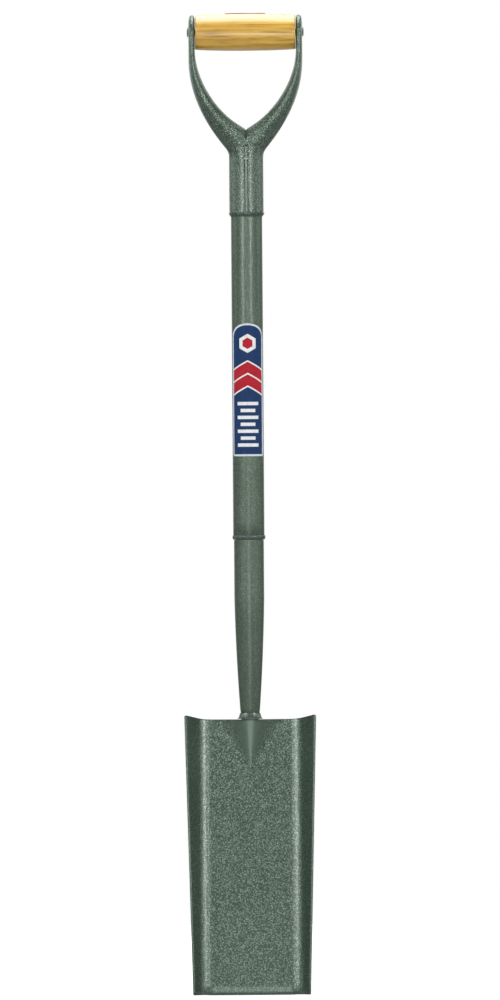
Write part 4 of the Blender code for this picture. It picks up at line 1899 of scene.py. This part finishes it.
@dataclass
class ShaftLabel(Film):
    """Arched film on the front of the shaft: a hexagon, chevrons and a ladder of bars."""

    name: str = "printed_shaft_label"
    node: str = "shaft_label"
    slot: Slot = Slot.PRINT
    corner: float = 0.0022
    border: float = 0.0019
    grain: Place = (0.0010, 1.0)
    width: float = 0.0365
    arch: float = 0.0142
    badge: Hexagon = Hexagon((0.0, 0.0470), 0.0084, 0.0050)
    levels: Sequence[float] = (0.0300, 0.0284, 0.0172, 0.0156, 0.0044, 0.0028)
    slope: float = 0.55
    ladder: Bars = Bars(tuple(steps(-0.0140, -0.0560, 6)), (*(0.0110, 0.0075) * 3, 0.0110), 0.0034)

    def __post_init__(self) -> None:
        """Take the label's place from its node and the tube that it sits on."""
        box, tube = NodeBox.of(self.node), NodeBox.of("shaft_tube")
        self.centre = Vector((tube.middle.x, tube.middle.y, box.middle.z))
        self.radius = tube.size.x / 2
        self.half = box.size.z / 2

    def outline(self) -> list[Place]:
        """Half ellipse over two straight sides with rounded lower corners.

        Returns:
            The outline's points, anticlockwise.
        """
        wide, spring = self.width / 2, self.half - self.arch
        points = [(wide * cos(t), spring + self.arch * sin(t)) for t in steps(0.0, pi, 48)]
        low = self.corner - self.half
        points += self.rounded(self.corner - wide, low, pi)
        return points + self.rounded(wide - self.corner, low, 1.5 * pi)

    def cuts(self) -> list[Cut]:
        """Find the cuts along the middle line, the chevrons' halves, the hexagons and the bars.

        Returns:
            The cuts.
        """
        wide, tall = self.width, 2 * self.half
        made = [Cut((0.0, 0.0), (1.0, 0.0), (-wide, -tall), (wide, tall))]
        for level in self.levels:
            for side, low, high in ((-1.0, -wide, 0.0), (1.0, 0.0, wide)):
                normal = (side * self.slope, 1.0)
                made.append(Cut((0.0, level), normal, (low, -tall), (high, tall)))
        return made + self.badge.cuts() + self.ladder.cuts(-self.half, 0.0)

    def field_at(self, u: float, v: float) -> Field:
        """Field at a place of the flat film.

        Args:
            u: Place across.
            v: Place up the film.

        Returns:
            The hexagons' or the bars' field, or else white and accent chevrons on the ground.
        """
        found = self.badge.field_at(u, v) or self.ladder.field_at(u, v)
        if found:
            return found
        passed = sum(v + self.slope * abs(u) < level for level in self.levels)
        if passed in (0, len(self.levels)):
            return Field.GROUND
        return Field.WHITE if passed % 2 else Field.ACCENT

    def seat(self, u: float, v: float, lift: float) -> Vector:
        """Place on the tube, a hair's breadth off its surface.

        Args:
            u: Place across the flat film.
            v: Place up the film.
            lift: Height over the film's underside.

        Returns:
            The place in the frame.
        """
        reach = self.radius + LABEL_GAP + lift
        turn = u / self.radius
        return self.centre + Vector((reach * sin(turn), -reach * cos(turn), v))


@dataclass
class GripLabel(Film):
    """Small film over the top and back of the grip: a hexagon between two bars."""

    grip: Grip | None = None
    name: str = "printed_grip_label"
    node: str = "grip_label"
    slot: Slot = Slot.RED
    corner: float = 0.0030
    border: float = 0.0012
    grain: Place = (0.0040, 0.0012)
    front: float = radians(8.0)
    back: float = radians(128.0)
    badge: Hexagon = Hexagon((0.0, 0.0), 0.0078, 0.0050)
    lines: Bars = Bars((-0.0145, 0.0145), (0.0150, 0.0150), 0.0022)

    def __post_init__(self) -> None:
        """Take the label's length from its node and its height from the grip's girth."""
        self.wide = NodeBox.of(self.node).size.x / 2
        self.tall = self.grip.radius * (self.front + self.back) / 2

    def outline(self) -> list[Place]:
        """Rectangle with rounded corners.

        Returns:
            The outline's points, anticlockwise.
        """
        u, v = self.wide - self.corner, self.tall - self.corner
        centres = ((u, v, 0.0), (-u, v, pi / 2), (-u, -v, pi), (u, -v, 1.5 * pi))
        return [point for centre in centres for point in self.rounded(*centre)]

    def cuts(self) -> list[Cut]:
        """The hexagons and the bars."""
        return self.badge.cuts() + self.lines.cuts(-self.tall, self.tall)

    def field_at(self, u: float, v: float) -> Field:
        """Field of the hexagons and bars, or else the ground."""
        return self.badge.field_at(u, v) or self.lines.field_at(u, v) or Field.GROUND

    def seat(self, u: float, v: float, lift: float) -> Vector:
        """Place on the barrel, from a little in front of its top to well behind it.

        Args:
            u: Place along the barrel.
            v: Place round it, which grows towards the back.
            lift: Height over the film's underside.

        Returns:
            The place in the frame.
        """
        reach = self.grip.radius_at(u) + LABEL_GAP + lift
        turn = (self.back - self.front) / 2 + v / self.grip.radius
        return self.grip.centre + Vector((u, reach * sin(turn), reach * cos(turn)))


@dataclass(frozen=True)
class Softbox:
    """Rectangular lamp that hangs round the shaft and faces it.

    The azimuth is in degrees from the camera's side, positive to the right, and the spread is
    how many degrees the beam fans out over. The aim is the height of the point that it faces.
    """

    name: str
    azimuth: float
    height: float
    reach: float
    size: Place
    watts: float
    aim: float
    spread: float = 180.0

    def hang(self, axis_y: float) -> None:
        """Add the lamp to the scene.

        Args:
            axis_y: Where the shaft stands from front to back.
        """
        data = bpy.data.lights.new(self.name, "AREA")
        data.shape = "RECTANGLE"
        data.size, data.size_y = self.size
        data.energy = self.watts
        data.spread = radians(self.spread)
        lamp = bpy.data.objects.new(self.name, data)
        angle = radians(self.azimuth)
        across, back = self.reach * sin(angle), self.reach * cos(angle)
        place = Vector((across, axis_y - back, self.height))
        facing = Vector((0.0, axis_y, self.aim)) - place
        turn = facing.to_track_quat("-Z", "Y").to_matrix().to_4x4()
        lamp.matrix_world = Matrix.Translation(place) @ turn
        bpy.context.scene.collection.objects.link(lamp)


# Strips and fills near the camera for the tubes' two highlights, narrow beams on the blade's
# bends, panels at the sides for the tubes' rims, softboxes behind, and one overhead
SOFTBOXES = (
    Softbox("front_strip_left", -31.0, 1.25, 2.4, (0.45, 1.2), 1.6, 1.0, 60.0),
    Softbox("front_strip_right", 31.0, 1.25, 2.4, (0.45, 1.2), 1.6, 1.0, 60.0),
    Softbox("hilt_fill_left", -27.0, 1.1, 2.4, (0.3, 0.5), 0.10, 1.0, 22.0),
    Softbox("hilt_fill_right", 27.0, 1.1, 2.4, (0.3, 0.5), 0.10, 1.0, 22.0),
    Softbox("blade_softbox_left", -54.0, 0.9, 2.0, (0.95, 0.5), 0.70, 0.12, 36.0),
    Softbox("blade_softbox_right", 58.0, 0.9, 2.0, (0.95, 0.5), 0.74, 0.12, 36.0),
    Softbox("hilt_panel_left", -103.0, 1.3, 2.0, (1.4, 0.8), 1.05, 0.85, 60.0),
    Softbox("hilt_panel_right", 103.0, 1.3, 2.0, (1.4, 0.8), 1.05, 0.85, 60.0),
    Softbox("left_panel", -90.0, 0.6, 2.2, (1.2, 1.6), 1.5, 0.6),
    Softbox("right_panel", 90.0, 0.6, 2.2, (1.2, 1.6), 2.5, 0.6),
    Softbox("rear_softbox_left", -147.0, 1.1, 2.2, (0.8, 1.6), 3.5, 0.6),
    Softbox("rear_softbox_right", 147.0, 1.1, 2.2, (0.8, 1.6), 3.5, 0.6),
    Softbox("back_fill", 180.0, 1.0, 2.4, (1.2, 1.4), 9.0, 0.5),
    Softbox("front_fill", 0.0, 0.40, 2.4, (0.9, 0.7), 7.4, 0.20),
    Softbox("overhead_softbox", 0.0, 1.9, -0.2, (1.0, 1.3), 21.5, 0.98),
)


@dataclass
class Studio:
    """Pale floor, soft lamps and the camera at the photograph's angle."""

    image_height: int = 1000
    distance: float = 18.0
    top_row: float = 13.5
    edge_row: float = 995.0
    roll: float = radians(0.42)
    centre_offset: float = 0.0014
    sensor: float = 36.0
    floor_drop: float = 0.0006
    floor_radius: float = 3.0
    floor_grey: Color = (0.5, 0.5, 0.5, 1.0)
    floor_glow: float = 0.6
    floor_fade: Place = (0.2, 1.2)
    ambient: float = 0.40
    backdrop_zone: Place = (0.70, 0.98)

    def build(self) -> None:
        """Set up everything that isn't part of the shovel."""
        self.set_camera()
        self.set_room()
        self.lay_floor()
        axis_y = NodeBox.of("shaft_tube").middle.y
        for softbox in SOFTBOXES:
            softbox.hang(axis_y)
        bpy.context.scene.view_settings.view_transform = "Standard"

    def set_camera(self) -> None:
        """Fit the camera so that the grip's top and the cutting edge lie on their rows."""
        grip = NodeBox.of("grip")
        near = self.distance / (self.distance - grip.middle.y)
        above = self.image_height / 2 - self.top_row
        below = (self.edge_row - self.image_height / 2) / near
        per_metre = (above + below) / grip.high.z
        data = bpy.data.cameras.new("photo_camera")
        data.sensor_width = self.sensor
        data.lens = self.sensor * self.distance * per_metre / self.image_height
        data.clip_end = 4 * self.distance
        camera = bpy.data.objects.new("photo_camera", data)
        place = Vector((self.centre_offset, grip.middle.y - self.distance, below / per_metre))
        turn = Matrix.Rotation(pi / 2, 4, "X") @ Matrix.Rotation(-self.roll, 4, "Z")
        camera.matrix_world = Matrix.Translation(place) @ turn
        bpy.context.scene.collection.objects.link(camera)
        bpy.context.scene.camera = camera
        log.info("camera: lens %.1f mm", data.lens)

    def set_room(self) -> None:
        """Plain room light, with a white backdrop for the camera and behind the shovel."""
        graph = Graph(bpy.data.worlds.new("studio_room"), "Background")
        rays = graph.add("LightPath").outputs
        places = graph.add("TexCoord").outputs["Generated"]
        depth = graph.add("SeparateXYZ", {0: places}).outputs["Y"]
        low, high = self.backdrop_zone
        behind = graph.span(depth, From_Min=low, From_Max=high)
        shiny = graph.math("ADD", rays["Is Glossy Ray"], rays["Is Transmission Ray"], clamp=True)
        mirrored = graph.math("MULTIPLY", shiny, behind)
        seen = graph.math("MAXIMUM", rays["Is Camera Ray"], mirrored)
        graph.dress(Color=WHITE, Strength=graph.span(seen, To_Min=self.ambient))
        bpy.context.scene.world = graph.owner

    def lay_floor(self) -> None:
        """Pale floor just under the cutting edge, which keeps the shovel's shadow."""
        bm = bmesh.new()
        bmesh.ops.create_circle(bm, cap_ends=True, segments=96, radius=self.floor_radius)
        bmesh.ops.translate(bm, verts=bm.verts[:], vec=(0.0, 0.0, cad_box[0].z - self.floor_drop))
        mesh = bpy.data.meshes.new("studio_floor")
        bm.to_mesh(mesh)
        bm.free()
        graph = Graph(bpy.data.materials.new("floor_white"))
        seen = graph.add("LightPath").outputs["Is Camera Ray"]
        places = graph.add("TexCoord").outputs["Object"]
        reach = graph.add("VectorMath", {0: places}, operation="LENGTH").outputs["Value"]
        near, far = self.floor_fade
        glow = graph.span(reach, From_Min=near, From_Max=far, To_Min=self.floor_glow)
        graph.dress(
            Base_Color=self.floor_grey,
            Roughness=0.9,
            Emission_Color=WHITE,
            Emission_Strength=graph.math("MULTIPLY", seen, glow),
        )
        mesh.materials.append(graph.owner)
        floor = bpy.data.objects.new("studio_floor", mesh)
        bpy.context.scene.collection.objects.link(floor)


def main() -> None:
    """Build the shovel's pieces and the studio, and report them."""
    logging.basicConfig(level=logging.INFO, format="%(message)s")
    Studio().build()
    plate_paint = HammeredPaint(
        "hammered_plate", calm_layer=Blade.calm_layer, shade_layer=Blade.shade_layer
    ).material()
    tube_paint = HammeredPaint(
        "hammered_tube", contrast=0.35, cell=0.0014, body=(0.093, 0.124, 0.094, 1.0), coat=0.22
    ).material()
    hilt_paint = HammeredPaint(
        "hammered_hilt", contrast=0.8, cell=0.0013, body=(0.124, 0.165, 0.128, 1.0), coat=0.3
    ).material()
    # Lighter enamel on the seam beads, a painted highlight along each bead
    seam_highlight_paint = HammeredPaint(
        "hammered_seam_highlight", contrast=0.5, cell=0.0012, body=(0.15, 0.19, 0.16, 1.0)
    ).material()
    weld_paint = HammeredPaint(
        "hammered_weld", contrast=0.4, cell=0.0012, body=(0.062, 0.094, 0.076, 1.0)
    ).material()
    blade = Blade()
    blade.build(plate_paint)
    Socket(blade).build(tube_paint, weld_paint)
    Shaft().build(tube_paint, weld_paint)
    Hilt().build(hilt_paint, seam_highlight_paint, weld_paint)
    grip = Grip()
    grip.build(VarnishedWood("varnished_hardwood").material())
    navy = Ink("navy_ink", (0.0032, 0.030, 0.115, 1.0)).material()
    red = Ink("red_ink", (0.42, 0.0065, 0.020, 1.0)).material()
    silver = Ink("silver_ink", (0.62, 0.68, 0.74, 1.0)).material()
    white = Ink("white_ink", (0.78, 0.79, 0.80, 1.0)).material()
    ShaftLabel().build([navy, silver, white, red])
    GripLabel(grip=grip).build([red, red, white, navy])


if __name__ == "__main__":
    main()
